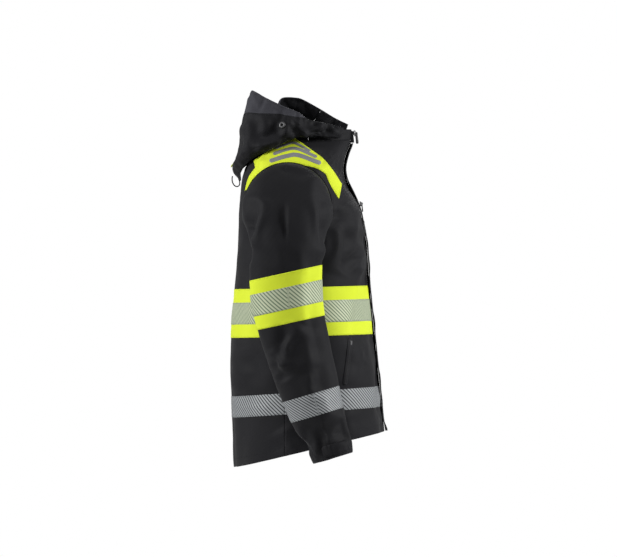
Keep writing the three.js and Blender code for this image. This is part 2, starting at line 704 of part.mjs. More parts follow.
/** Keep what lies between two tilted levels of the sleeve. */
function sleeveSlice(layer, top, bottom) {
  const normal = new THREE.Vector3(0, Math.sin(BAND_TILT), Math.cos(BAND_TILT));
  const offset = (z) => normal.dot(new THREE.Vector3(0, -2, z));
  const kept = layer.trimByPlane(normal.toArray(), offset(bottom));
  return kept.trimByPlane(normal.clone().negate().toArray(), -offset(top));
}

/** Forearm as a solid in the elbow's own frame, grown by an offset. */
function forearmSolid(offset, from, to, overshoot = 0) {
  const at = (d) => {
    const below = FOREARM_STATIONS.find((s) => s.d >= d) ?? FOREARM_STATIONS.at(-1);
    const above = FOREARM_STATIONS[Math.max(FOREARM_STATIONS.indexOf(below) - 1, 0)];
    const share = below === above ? 0 : (d - above.d) / (below.d - above.d);
    const mix = (a, b) => THREE.MathUtils.lerp(a, b, share);
    const centre = new THREE.Vector3(mix(above.x, below.x), 0, -d);
    const halfX = mix(above.half[0], below.half[0]);
    return sleeveRing(centre, halfX, mix(above.half[1], below.half[1]), offset);
  };
  const stops = FOREARM_STATIONS.map((s) => s.d).filter((d) => d > from + 1 && d < to - 1);
  const rings = [from, ...stops, to].map(at);
  if (overshoot) {
    rings.unshift(rings[0].map((p) => p.clone().setZ(p.z + overshoot)));
    rings.push(rings.at(-1).map((p) => p.clone().setZ(p.z - overshoot)));
  }
  return toSolid(loft(rings));
}

/** Layer of the forearm between two offsets and two distances from the elbow. */
function forearmLayer(inner, outer, from, to) {
  return forearmSolid(outer, from, to).subtract(forearmSolid(inner, from, to, 20));
}

/** Soft stretch of sleeve that crumples round the elbow, from one sleeve end to the other. */
function elbowGusset() {
  const frame = new THREE.Matrix4().makeRotationX(-FOREARM_LEAN);
  frame.setPosition(ELBOW.x, ELBOW.y, ELBOW.z);
  const solid = (offset, overshoot) => {
    const upperZ = SLEEVE_END - CLEARANCE + overshoot;
    const upperEnd = new THREE.Vector3(310, GUSSET.upperY, upperZ - (GUSSET.upperY + 2) * BAND_SLOPE);
    const top = sleeveRing(upperEnd, 60, 81.5, offset, BAND_SLOPE);
    const middle = sleeveRing(new THREE.Vector3(ELBOW.x + 2, ELBOW.y, ELBOW.z), 58, 77, offset, 0.02);
    const lowerEnd = new THREE.Vector3(8, 0, -FOREARM_START + CLEARANCE - overshoot);
    const low = sleeveRing(lowerEnd, 54, 71, offset).map((p) => p.applyMatrix4(frame));
    return toSolid(loft([top, middle, low]));
  };
  return solid(0, 0).subtract(solid(-CLOTH, 3));
}

/** Cuff tab: a strap on the outside of the cuff, sewn at its back end. */
function cuffTab() {
  const length = 62;
  const depth = 27;
  const shape = new THREE.Shape();
  shape.moveTo(20, 0);
  shape.lineTo(20, depth);
  shape.lineTo(20 - length + 8, depth);
  shape.quadraticCurveTo(20 - length, depth, 20 - length, depth / 2);
  shape.quadraticCurveTo(20 - length, 0, 20 - length + 8, 0);
  return sidePrism(shape, 0, 2);
}

/** Both sleeves are built on the left and mirrored to the right. */
function buildSleeve(upperGroup, forearmGroup, tabGroup, name, side) {
  const place = (solid) => (side > 0 ? solid : solid.mirror([1, 0, 0]));
  const cloth = sleeveLayer(-CLOTH, 0);
  const trim = sleeveLayer(CLEARANCE, CLEARANCE + TRIM);
  const tape = sleeveLayer(CLEARANCE * 2 + TRIM, CLEARANCE * 2 + TRIM * 2);
  const upper = sleeveSlice(cloth, 0, SLEEVE_END);
  const band = sleeveSlice(trim, SLEEVE_BAND.top, SLEEVE_BAND.bottom);
  const stripe = sleeveSlice(tape, SLEEVE_BAND.tapeTop, SLEEVE_BAND.tapeBottom);
  addPart(upperGroup, `${name}_upper_sleeve`, place(upper), 'shell');
  addPart(upperGroup, `${name}_sleeve_band`, place(band), 'yellow');
  addPart(upperGroup, `${name}_sleeve_band_tape`, place(stripe), 'tape');
  addPart(upperGroup, `${name}_elbow_gusset`, place(elbowGusset()), 'shell');

  const frame = new THREE.Group();
  frame.position.set(side * ELBOW.x, ELBOW.y, ELBOW.z);
  frame.rotation.x = -FOREARM_LEAN;
  forearmGroup.add(frame);
  const forearm = forearmLayer(-CLOTH, 0, FOREARM_START, FOREARM_LENGTH);
  const { top, bottom } = FOREARM_TAPE;
  const forearmTape = forearmLayer(CLEARANCE, CLEARANCE + TRIM, top, bottom);
  addPart(frame, `${name}_forearm`, place(forearm), 'shell');
  addPart(frame, `${name}_forearm_tape`, place(forearmTape), 'tape');

  const outside = 19 + 43.5 + CLEARANCE;
  const tab = toSolid(cuffTab()).translate([outside, 0, -FOREARM_LENGTH + 6]);
  const tabFrame = frame.clone(false);
  tabGroup.add(tabFrame);
  addPart(tabFrame, `${name}_cuff_tab`, place(tab), 'shell');
}

// ---------------------------------------------------------------- hood

/** Height of the hood's rim where it lies over a shoulder or hangs down the back. */
function rimHeight(y) {
  const { shoulderY, shoulderZ, frontZ, slope, drop } = HOOD_RIM;
  if (y < shoulderY) {
    return THREE.MathUtils.mapLinear(y, HOOD_CHEEK.rimY, shoulderY, frontZ, shoulderZ);
  }
  const hanging = THREE.MathUtils.smoothstep(y, 80, HOOD_RIM.backY);
  return shoulderZ - slope * (y - shoulderY) - drop * hanging;
}

/** The hood's surface: u runs round it from cheek to cheek, v from its rim to its edge. */
function hoodPoint(u, v) {
  const around = (u - 0.5) * 2; // -1 at the right cheek, 0 at the back, 1 at the left cheek
  const back = Math.cos((around * Math.PI) / 2) ** 0.9; // 1 at the back, 0 at the cheeks
  const widest = Math.sin(Math.min(Math.abs(around) * 1.25, 1) * 90 * DEG);
  const cheek = THREE.MathUtils.smoothstep(Math.abs(around), 0.72, 1);
  const rimY = THREE.MathUtils.lerp(HOOD_CHEEK.rimY, HOOD_RIM.backY, back);
  const rim = new THREE.Vector3(
    THREE.MathUtils.lerp(HOOD_HALF * widest, HOOD_CHEEK.rimX, cheek), rimY, rimHeight(rimY));
  const edge = new THREE.Vector3(
    THREE.MathUtils.lerp(HOOD_HALF * 0.86 * widest, HOOD_CHEEK.edgeX, cheek),
    THREE.MathUtils.lerp(HOOD_CHEEK.edgeY, HOOD_TIP.y, back),
    THREE.MathUtils.lerp(HOOD_CHEEK.edgeZ, HOOD_TIP.z, back ** 1.6));
  const swell = Math.sin(v * Math.PI) * HOOD_SWELL;
  const point = rim.lerp(edge, v);
  point.x += swell * 0.7 * widest * (1 - cheek);
  point.y += swell * 0.4 * back;
  point.x *= Math.sign(around) || 0;
  return point;
}

/** Underside of the lying hood, from the collar out to the hood's rim. */
function napePoint(u, v) {
  const outer = hoodPoint(u, NAPE.rimShare);
  outer.addScaledVector(hoodNormal(u, NAPE.rimShare), -(HOOD_CLOTH + NAPE.seam));
  const angle = Math.atan2(outer.y - NAPE.middleY, outer.x);
  const inner = collarOutline(angle, NAPE.height, NAPE.collarGap);
  const point = inner.lerp(outer, v);
  point.z += Math.sin(v * Math.PI) * NAPE.arch;
  return point;
}

/** Point of the collar's outside in a direction from its middle, moved outwards. */
function collarOutline(angle, z, gap) {
  const { half, back } = collarSection(z);
  const middle = (back + frontY(z)) / 2;
  const depth = (back - frontY(z)) / 2 + gap;
  const [x, y] = [Math.cos(angle), Math.sin(angle)];
  const power = TORSO_SQUARENESS;
  const size = (Math.abs(x / (half + gap)) ** power + Math.abs(y / depth) ** power) ** (-1 / power);
  return new THREE.Vector3(x * size, middle + y * size, z);
}

/** Outward direction of the hood's surface. */
function hoodNormal(u, v) {
  const step = 0.01;
  const along = hoodPoint(u + step, v).sub(hoodPoint(u - step, v));
  const up = hoodPoint(u, v + step).sub(hoodPoint(u, v - step));
  return up.cross(along).normalize();
}

/** Round adjuster for the hood's drawcord, seated on one side of the hood. */
function hoodAdjuster(side) {
  const { around, up, radius, thickness } = ADJUSTER;
  const u = 0.5 + side * around;
  const seat = hoodPoint(u, up);
  const outward = hoodNormal(u, up);
  const cap = new THREE.CylinderGeometry(radius * 0.8, radius, thickness, 20);
  const turn = new THREE.Quaternion().setFromUnitVectors(new THREE.Vector3(0, 1, 0), outward);
  const lift = CLEARANCE + thickness / 2;
  return cap.applyQuaternion(turn).translate(...seat.addScaledVector(outward, lift).toArray());
}

/** Small tab on the back of the hood. */
function hoodTab() {
  const { half, height, thickness, up } = HOOD_TAB;
  const seat = hoodPoint(0.5, up);
  const lean = Math.atan2(HOOD_RIM.backY - HOOD_TIP.y, HOOD_TIP.z + 84);
  const tab = block([-half, 0, -height / 2], [half, thickness, height / 2]);
  return tab.rotateX(lean).translate(0, seat.y + CLEARANCE + 0.4, seat.z);
}

// Elastic cord that hangs in a loop below the hood's back
const REAR_CORD = [
  [0, 138.8, -86], [0, 139.6, -92], [0, 139, -99], [0, 136.6, -105], [0, 132.6, -109.4],
  [0, 128, -111], [0, 123.8, -109.4], [0, 121.4, -105], [0, 121.6, -99], [0, 123.4, -93],
  [0, 125.2, -88], [0, 126.6, -84],
];
const CORD_RADIUS = 1.4;

/** Tube along the rear cord's route. */
function rearCord() {
  const route = new THREE.CatmullRomCurve3(REAR_CORD.map((point) => new THREE.Vector3(...point)));
  const section = new THREE.Shape().absarc(0, 0, CORD_RADIUS, 0, 2 * Math.PI);
  const options = { steps: 22, extrudePath: route, curveSegments: 8, bevelEnabled: false };
  return new THREE.ExtrudeGeometry(section, options);
}

/** Hood pieces, all on the lifting body. */
function buildHood(hood) {
  const shellTop = 1 - BRIM_SHARE;
  const shell = thickGrid((u, v) => hoodPoint(u, v * shellTop), HOOD_COLUMNS, HOOD_ROWS, -HOOD_CLOTH);
  const brimStart = shellTop + 0.006;
  const brim = thickGrid((u, v) => hoodPoint(u, brimStart + v * (1 - brimStart)),
    HOOD_COLUMNS, 2, -HOOD_CLOTH);
  addPart(hood, 'hood_shell', shell, 'shell');
  addPart(hood, 'hood_brim', brim, 'brim');
  const napeColumns = HOOD_COLUMNS - 2 * NAPE.margin;
  const napeU = (u) => (NAPE.margin + u * napeColumns) / HOOD_COLUMNS;
  const nape = thickGrid((u, v) => napePoint(napeU(u), v), napeColumns, 2, NAPE.cloth);
  addPart(hood, 'hood_nape_panel', nape, 'shell');
  addPart(hood, 'right_hood_adjuster', hoodAdjuster(-1), 'plastic');
  addPart(hood, 'left_hood_adjuster', hoodAdjuster(1), 'plastic');
  addPart(hood, 'hood_tab', hoodTab(), 'yellow');
  addPart(hood, 'hood_rear_cord', rearCord(), 'elastic');
}

// ---------------------------------------------------------------- assembly

const coat = new THREE.Group();
const bodies = {};
for (const name of ['torso', 'right_front', 'left_front', 'storm_flap', 'zip_slider', 'zip_puller',
  'hood', 'right_sleeve', 'left_sleeve', 'right_forearm', 'left_forearm', 'right_cuff_tab',
  'left_cuff_tab', 'right_chest_slider', 'left_chest_slider', 'right_pocket_slider',
  'left_pocket_slider']) {
  bodies[name] = new THREE.Group();
  coat.add(bodies[name]);
}

const layers = {
  cloth: torsoLayer(-CLOTH, 0),
  trim: torsoLayer(CLEARANCE, CLEARANCE + TRIM),
  tape: torsoLayer(CLEARANCE * 2 + TRIM, CLEARANCE * 2 + TRIM * 2),
};
const collar = collarRing();
buildTorso(bodies.torso, layers.cloth, layers.trim, layers.tape);
addPart(bodies.torso, 'collar_back', collar.subtract(BOTH_FRONTS), 'shell');
addPart(bodies.torso, 'hang_loop', hangLoop(), 'elastic');

const placket = placketFrame();
const plackets = {};
for (const [name, side] of [['right', -1], ['left', 1]]) {
  const zip = buildFront(bodies[`${name}_front`], name, side, layers, collar, placket);
  const sliders = placketFrame();
  bodies[`${name}_chest_slider`].add(sliders);
  chestZip(zip, sliders, name, side);
  plackets[name] = zip;
  handPocket(bodies.torso, name, side, layers.trim);
  const { frame, solid } = pocketSlider(side);
  bodies[`${name}_pocket_slider`].add(frame);
  addPart(frame, `${name}_pocket_slider`, solid, 'metal');
  buildSleeve(bodies[`${name}_sleeve`], bodies[`${name}_forearm`], bodies[`${name}_cuff_tab`],
    name, side);
}

const flapFrame = placketFrame();
bodies.storm_flap.add(flapFrame);
addPart(flapFrame, 'storm_flap', stormFlap(), 'shell');
const sliderFrame = placketFrame();
bodies.zip_slider.add(sliderFrame);
addPart(sliderFrame, 'zip_slider', slider(), 'metal');
const pullerFrame = placketFrame();
bodies.zip_puller.add(pullerFrame);
addPart(pullerFrame, 'zip_puller', puller(), 'plastic');

buildHood(bodies.hood);

export default coat;
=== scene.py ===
"""Looks of a hooded high-visibility work coat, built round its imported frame.

Metres, in the frame's own axes: +Z up, the front towards -Y, the wearer's left towards +X.
The shell is cut from a few dense cloth surfaces (torso, sleeves, hood, flap), each with its
folds, so that panels, bands and tapes lie on the same cloth and follow the same creases.
"""

import logging
import math
from dataclasses import dataclass, field
from enum import Enum
from typing import Callable, Sequence

import bpy
import numpy as np
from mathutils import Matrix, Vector


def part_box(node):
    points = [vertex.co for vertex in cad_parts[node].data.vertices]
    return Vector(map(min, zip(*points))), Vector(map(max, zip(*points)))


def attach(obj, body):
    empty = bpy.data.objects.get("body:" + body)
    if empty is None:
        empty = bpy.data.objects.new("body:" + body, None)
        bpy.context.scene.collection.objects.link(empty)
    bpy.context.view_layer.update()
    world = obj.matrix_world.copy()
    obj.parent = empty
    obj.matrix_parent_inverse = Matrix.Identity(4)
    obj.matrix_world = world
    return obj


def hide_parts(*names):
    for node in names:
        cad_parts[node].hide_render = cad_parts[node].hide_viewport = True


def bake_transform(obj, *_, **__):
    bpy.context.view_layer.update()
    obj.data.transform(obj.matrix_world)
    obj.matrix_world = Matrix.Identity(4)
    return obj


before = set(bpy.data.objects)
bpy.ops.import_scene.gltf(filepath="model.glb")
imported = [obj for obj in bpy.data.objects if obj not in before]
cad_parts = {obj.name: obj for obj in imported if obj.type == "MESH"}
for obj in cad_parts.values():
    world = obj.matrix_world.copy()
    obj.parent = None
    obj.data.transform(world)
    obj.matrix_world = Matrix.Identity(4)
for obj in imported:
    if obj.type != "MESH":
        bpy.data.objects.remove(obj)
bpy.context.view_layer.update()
LOG = logging.getLogger("coat")

Array = np.ndarray
MM = 0.001


class Side(Enum):
    """Side of the wearer's body, with the sign of its X."""

    RIGHT = -1
    LEFT = 1

    @property
    def word(self) -> str:
        """Name of the side in lower case."""
        return self.name.lower()


# ------------------------------------------------------------------ small maths


def smooth(low: float, high: float, value: Array) -> Array:
    """Smooth step of a value between two limits."""
    t = np.clip((value - low) / (high - low), 0.0, 1.0)
    return t * t * (3.0 - 2.0 * t)


def spline(stations: Sequence[Sequence[float]], at: Array) -> Array:
    """Smooth curve through stations.

    Args:
        stations: rows whose first column is the position and whose rest are the values.
        at: positions to evaluate.

    Returns:
        One row of values for each position.
    """
    table = np.array(sorted(stations), float)
    x, y = table[:, 0], table[:, 1:]
    slope = np.gradient(y, x, axis=0)
    at = np.clip(np.asarray(at, float), x[0], x[-1])
    k = np.clip(np.searchsorted(x, at) - 1, 0, len(x) - 2)
    width = x[k + 1] - x[k]
    t = ((at - x[k]) / width)[:, None]
    width = width[:, None]
    h00, h10 = 2 * t**3 - 3 * t**2 + 1, t**3 - 2 * t**2 + t
    h01, h11 = -2 * t**3 + 3 * t**2, t**3 - t**2
    return h00 * y[k] + h10 * width * slope[k] + h01 * y[k + 1] + h11 * width * slope[k + 1]


def noise(a: Array, b: Array, seed: int, octaves: int = 4, base: float = 9.0) -> Array:
    """Soft seeded waves over two coordinates in metres, about -1 to 1."""
    rng = np.random.default_rng(seed)
    total = np.zeros_like(a)
    for k in range(octaves):
        for _ in range(4):
            angle = rng.uniform(0, math.pi)
            rate = base * 1.8**k * rng.uniform(0.7, 1.3)
            phase = rng.uniform(0, 2 * math.pi)
            wave = math.cos(angle) * a + math.sin(angle) * b
            total += np.sin(2 * math.pi * rate * wave / 2 + phase) / (1.55**k * 4)
    return total


def crease(a: Array, b: Array, line: Sequence[Sequence[float]], width: float) -> Array:
    """Ridge profile along a polyline, 1 on the line and fading within a width on each side.

    Args:
        a: first coordinate of each point.
        b: second coordinate of each point.
        line: points of the crease in the same coordinates.
        width: half width of the ridge.

    Returns:
        Height from 0 to 1, tapering towards both ends of the line.
    """
    best = np.full_like(a, 1e9)
    share = np.zeros_like(a)
    pts = np.array(line, float)
    lengths = np.linalg.norm(np.diff(pts, axis=0), axis=1)
    run = np.concatenate([[0], np.cumsum(lengths)]) / lengths.sum()
    for i in range(len(pts) - 1):
        d = pts[i + 1] - pts[i]
        t = np.clip(((a - pts[i, 0]) * d[0] + (b - pts[i, 1]) * d[1]) / (d @ d), 0, 1)
        dist = np.hypot(a - pts[i, 0] - t * d[0], b - pts[i, 1] - t * d[1])
        nearer = dist < best
        best = np.where(nearer, dist, best)
        share = np.where(nearer, run[i] + t * (run[i + 1] - run[i]), share)
    taper = np.clip(4 * share * (1 - share) * 1.6, 0, 1) ** 0.7
    spread = width * (1.35 + 0.5 * np.sin(7 * share + 90 * width))
    return np.exp(-((best / spread) ** 2)) * taper


# ------------------------------------------------------------------ cloth grids and patches


@dataclass
class Cloth:
    """A grid of points on a cloth surface, with its outward directions and cloth coordinates."""

    points: Array
    normals: Array
    uv: Array
    fields: dict[str, Array] = field(default_factory=dict)

    @staticmethod
    def over(points: Array, wrap: bool = False) -> "Cloth":
        """Make a cloth from a grid of points (rows, columns, 3), rows running downwards."""
        du = np.gradient(points, axis=1)
        if wrap:
            du[:, 0] = du[:, -1] = (points[:, 1] - points[:, -2]) / 2
        dv = np.gradient(points, axis=0)
        normals = np.cross(dv, du)
        normals /= np.maximum(np.linalg.norm(normals, axis=2, keepdims=True), 1e-12)
        middle = points[len(points) // 2]
        along = np.concatenate([[0], np.cumsum(np.linalg.norm(np.diff(middle, axis=0), axis=1))])
        column = points[:, points.shape[1] // 3]
        down = np.concatenate([[0], np.cumsum(np.linalg.norm(np.diff(column, axis=0), axis=1))])
        uv = np.stack(np.broadcast_arrays(along[None, :], -down[:, None]), axis=2)
        return Cloth(points, normals, uv)

    def pushed(self, height: Array, wrap: bool = False) -> "Cloth":
        """Move the cloth along its outward directions by a height at each point."""
        moved = Cloth.over(self.points + self.normals * height[..., None], wrap)
        moved.uv = self.uv
        moved.fields = self.fields
        return moved


@dataclass
class Patch:
    """Part of a cloth, cut to an outline; each row of data is one point."""

    data: Array
    quads: Array
    polys: list[list[int]]
    names: dict[str, int]

    @staticmethod
    def of(cloth: Cloth, **extra: Array) -> "Patch":
        """Start a patch with the whole cloth and any extra fields by name."""
        rows, columns = cloth.points.shape[:2]
        parts = [cloth.points, cloth.normals, cloth.uv]
        names = {"x": 0, "y": 1, "z": 2, "nx": 3, "ny": 4, "nz": 5, "u": 6, "v": 7}
        for name, values in {**cloth.fields, **extra}.items():
            names[name] = len(names)
            parts.append(np.broadcast_to(values, (rows, columns))[..., None])
        data = np.concatenate(parts, axis=2).reshape(rows * columns, -1)
        i = np.arange(rows * columns).reshape(rows, columns)
        quads = np.stack([i[:-1, :-1], i[1:, :-1], i[1:, 1:], i[:-1, 1:]], axis=-1).reshape(-1, 4)
        return Patch(data, quads, [], names)

    def __getitem__(self, name: str) -> Array:
        """Values of a named field."""
        return self.data[:, self.names[name]]

    def cut(self, rule: Callable[["Patch"], Array]) -> "Patch":
        """Keep the part where a rule is positive, with a smooth edge."""
        f = rule(self)
        f = np.where(np.abs(f) < 2e-5, 2e-5, f)
        inside = f > 0
        whole = inside[self.quads].all(axis=1)
        mixed = self.quads[~whole & inside[self.quads].any(axis=1)]
        data = list(self.data)
        made: dict[tuple[int, int], int] = {}
        out: list[list[int]] = []
        for poly in [*mixed.tolist(), *self.polys]:
            kept: list[int] = []
            for a, b in zip(poly, poly[1:] + poly[:1]):
                if inside[a]:
                    kept.append(a)
                if inside[a] != inside[b]:
                    key = (a, b) if a < b else (b, a)
                    if key not in made:
                        t = f[key[0]] / (f[key[0]] - f[key[1]])
                        data.append(self.data[key[0]] * (1 - t) + self.data[key[1]] * t)
                        made[key] = len(data) - 1
                    kept.append(made[key])
            if len(kept) > 2:
                out.append(kept)
        return Patch(np.array(data), self.quads[whole], out, self.names)

    def compact(self) -> "Patch":
        """Drop the points that no face uses."""
        corners = np.concatenate([self.quads.ravel(), *map(np.array, self.polys)])
        used = np.unique(corners.astype(int))
        index = np.zeros(len(self.data), int)
        index[used] = np.arange(len(used))
        polys = [[int(index[i]) for i in poly] for poly in self.polys]
        return Patch(self.data[used], index[self.quads], polys, self.names)

    def border(self) -> list[tuple[int, int]]:
        """Directed edges that belong to one face only."""
        faces = [*self.quads.tolist(), *self.polys]
        edges = {(a, b) for face in faces for a, b in zip(face, face[1:] + face[:1])}
        return [(a, b) for a, b in edges if (b, a) not in edges]

    def thread(self, rule: Callable[["Patch"], Array], lift: float) -> list[Array]:
        """Short segments of the line where a rule is zero, lifted off the cloth."""
        f = rule(self)
        points = self.data[:, :3] + self.data[:, 3:6] * lift
        segments = []
        quads = self.quads[(f[self.quads] > 0).any(axis=1) & (f[self.quads] <= 0).any(axis=1)]
        for poly in [*quads.tolist(), *self.polys]:
            hits = []
            for a, b in zip(poly, poly[1:] + poly[:1]):
                if (f[a] > 0) != (f[b] > 0):
                    t = f[a] / (f[a] - f[b])
                    hits.append(points[a] * (1 - t) + points[b] * t)
            if len(hits) == 2:
                segments.append(np.array(hits))
        return segments


def make_mesh(name: str, points: Array, faces: Sequence[Sequence[int]], uv: Array | None = None,
              smooth_faces: bool = True) -> bpy.types.Object:
    """Make a mesh object at the origin from points and faces, with an optional UV per point."""
    mesh = bpy.data.meshes.new(name)
    mesh.from_pydata(points.tolist(), [], [list(map(int, face)) for face in faces])
    if uv is not None:
        layer = mesh.uv_layers.new(name="cloth")
        corner = np.zeros(len(mesh.loops), np.int32)
        mesh.loops.foreach_get("vertex_index", corner)
        layer.data.foreach_set("uv", uv[corner].astype(np.float32).ravel())
    mesh.polygons.foreach_set("use_smooth", [smooth_faces] * len(mesh.polygons))
    mesh.update()
    obj = bpy.data.objects.new(name, mesh)
    bpy.context.scene.collection.objects.link(obj)
    return obj


def sewn(name: str, patch: Patch, thickness: float, lift: float = 0.0,
         edge: float = 0.4) -> bpy.types.Object:
    """Turn a patch into a closed layer of cloth.

    Args:
        name: name of the piece.
        patch: the cut cloth.
        thickness: thickness of the layer.
        lift: height of its underside above the cloth surface; negative lies below it.
        edge: share of the thickness that the outer face loses at its edges.

    Returns:
        The closed mesh object.
    """
    patch = patch.compact()
    border = patch.border()
    rim = np.zeros(len(patch.data), bool)
    rim[[a for a, _ in border]] = True
    rim[[b for _, b in border]] = True
    points, normals = patch.data[:, :3], patch.data[:, 3:6]
    top = lift + thickness * (1 - edge * rim)
    outer = points + normals * top[:, None]
    inner = points + normals * lift
    count = len(points)
    faces = [*patch.quads.tolist(), *patch.polys]
    back = [[i + count for i in reversed(face)] for face in faces]
    walls = [[b, a, a + count, b + count] for a, b in border]
    uv = np.concatenate([patch.data[:, 6:8]] * 2)
    return make_mesh(name, np.concatenate([outer, inner]), faces + back + walls, uv)


def tube(path: Array, radius: float, sides: int = 10) -> tuple[Array, list[list[int]]]:
    """Closed tube along a path, with rounded ends.

    Args:
        path: points of the centreline.
        radius: radius of the tube.
        sides: facets round it.

    Returns:
        Points and faces.
    """
    tangent = np.gradient(path, axis=0)
    tangent /= np.linalg.norm(tangent, axis=1, keepdims=True)
    across = np.cross(tangent[0], [1.0, 0.0, 0.0])
    if np.linalg.norm(across) < 0.1:
        across = np.cross(tangent[0], [0.0, 1.0, 0.0])
    rings = []
    angle = np.linspace(0, 2 * math.pi, sides, endpoint=False)
    for p, t in zip(path, tangent):
        across = across - t * (across @ t)
        across /= np.linalg.norm(across)
        other = np.cross(t, across)
        rings.append(p + radius * (np.cos(angle)[:, None] * across
                                   + np.sin(angle)[:, None] * other))
    points = np.concatenate([*rings, [path[0] - tangent[0] * radius * 0.5],
                             [path[-1] + tangent[-1] * radius * 0.5]])
    faces = []
    rows = len(path)
    for r in range(rows - 1):
        for i in range(sides):
            j = (i + 1) % sides
            faces.append([r * sides + i, r * sides + j, (r + 1) * sides + j, (r + 1) * sides + i])
    for i in range(sides):
        j = (i + 1) % sides
        faces.append([rows * sides, j, i])
        faces.append([rows * sides + 1, (rows - 1) * sides + i, (rows - 1) * sides + j])
    return points, faces


def plate(outline: Array, low: float, high: float, bevel: float) -> tuple[Array, list[list[int]]]:
    """Flat plate with chamfered edges, from a convex-ish outline in its own X and Z.

    Args:
        outline: points (x, z), anticlockwise seen from its front (-Y).
        low: depth of the front face along Y.
        high: depth of the back face along Y.
        bevel: size of the chamfer.

    Returns:
        Points and faces.
    """
    middle = outline.mean(axis=0)
    reach = np.linalg.norm(outline - middle, axis=1, keepdims=True)
    inset = middle + (outline - middle) * (1 - bevel / reach)
    depths = [(inset, low), (outline, low + bevel), (outline, high - bevel), (inset, high)]
    count = len(outline)
    points = np.concatenate([np.column_stack([o[:, 0], np.full(count, y), o[:, 1]])
                             for o, y in depths])
    faces = [list(range(count)), [3 * count + i for i in reversed(range(count))]]
    for ring in range(3):
        for i in range(count):
            j = (i + 1) % count
            faces.append([ring * count + j, ring * count + i,
                          (ring + 1) * count + i, (ring + 1) * count + j])
    return points, faces


def rounded(left: float, right: float, low: float, high: float, radius: float) -> Array:
    """Outline of a rectangle with rounded corners, anticlockwise in (x, z)."""
    corners = [(right - radius, high - radius, 0), (left + radius, high - radius, 90),
               (left + radius, low + radius, 180), (right - radius, low + radius, 270)]
    points = []
    for x, z, start in corners:
        for step in range(6):
            a = math.radians(start + 90 * step / 5)
            points.append((x + radius * math.cos(a), z + radius * math.sin(a)))
    return np.array(points)


def joined(parts: Sequence[tuple[Array, list[list[int]]]]) -> tuple[Array, list[list[int]]]:
    """Several point and face lists as one."""
    points, faces, offset = [], [], 0
    for part_points, part_faces in parts:
        points.append(part_points)
        faces += [[i + offset for i in face] for face in part_faces]
        offset += len(part_points)
    return np.concatenate(points), faces


# ------------------------------------------------------------------ finishes


class Graph:
    """A material's node tree, with short calls to add and join nodes."""

    def __init__(self, name: str) -> None:
        """Start a material with one Principled shader."""
        self.material = bpy.data.materials.new(name)
        self.material.use_nodes = True
        self.tree = self.material.node_tree
        self.shader = self.tree.nodes["Principled BSDF"]

    def add(self, kind: str, inputs: dict | None = None, **settings: object) -> bpy.types.Node:
        """Add a node, set its settings, and link or set its inputs by name or number."""
        node = self.tree.nodes.new(kind)
        for key, value in settings.items():
            setattr(node, key, value)
        for key, value in (inputs or {}).items():
            if isinstance(value, bpy.types.NodeSocket):
                self.tree.links.new(value, node.inputs[key])
            else:
                node.inputs[key].default_value = value
        return node

    def maths(self, operation: str, a: object, b: object = 0.0) -> bpy.types.NodeSocket:
        """One arithmetic step."""
        return self.add("ShaderNodeMath", {0: a, 1: b}, operation=operation).outputs[0]

    def mix(self, factor: object, a: object, b: object) -> bpy.types.NodeSocket:
        """Mix two colours."""
        node = self.add("ShaderNodeMix", data_type="RGBA")
        for key, value in (("Factor_Float", factor), ("A_Color", a), ("B_Color", b)):
            socket = next(s for s in node.inputs if s.identifier == key)
            if isinstance(value, bpy.types.NodeSocket):
                self.tree.links.new(value, socket)
            else:
                socket.default_value = value
        return next(s for s in node.outputs if s.identifier == "Result_Color")

    def texture(self, coordinates: bpy.types.NodeSocket, scale: float, detail: float = 3.0,
                roughness: float = 0.5) -> bpy.types.NodeSocket:
        """Grey noise at a number of features per metre."""
        node = self.add("ShaderNodeTexNoise", {
            "Vector": coordinates, "Scale": scale, "Detail": detail, "Roughness": roughness})
        return node.outputs[0]

    def link(self, output: bpy.types.NodeSocket, name: str) -> None:
        """Join a value to the shader."""
        self.tree.links.new(output, self.shader.inputs[name])

    def bump(self, height: object, distance: float, strength: float,
             under: object | None = None) -> bpy.types.NodeSocket:
        """Bump from a height, on top of another bump."""
        inputs = {"Height": height, "Distance": distance, "Strength": strength}
        if under is not None:
            inputs["Normal"] = under
        return self.add("ShaderNodeBump", inputs).outputs[0]


def colour(red: float, green: float, blue: float) -> tuple[float, float, float, float]:
    """Linear colour from 0..255 display values."""
    def linear(value: float) -> float:
        """Linear value of one 0..255 channel."""
        v = value / 255
        return v / 12.92 if v <= 0.04045 else ((v + 0.055) / 1.055) ** 2.4
    return (linear(red), linear(green), linear(blue), 1.0)


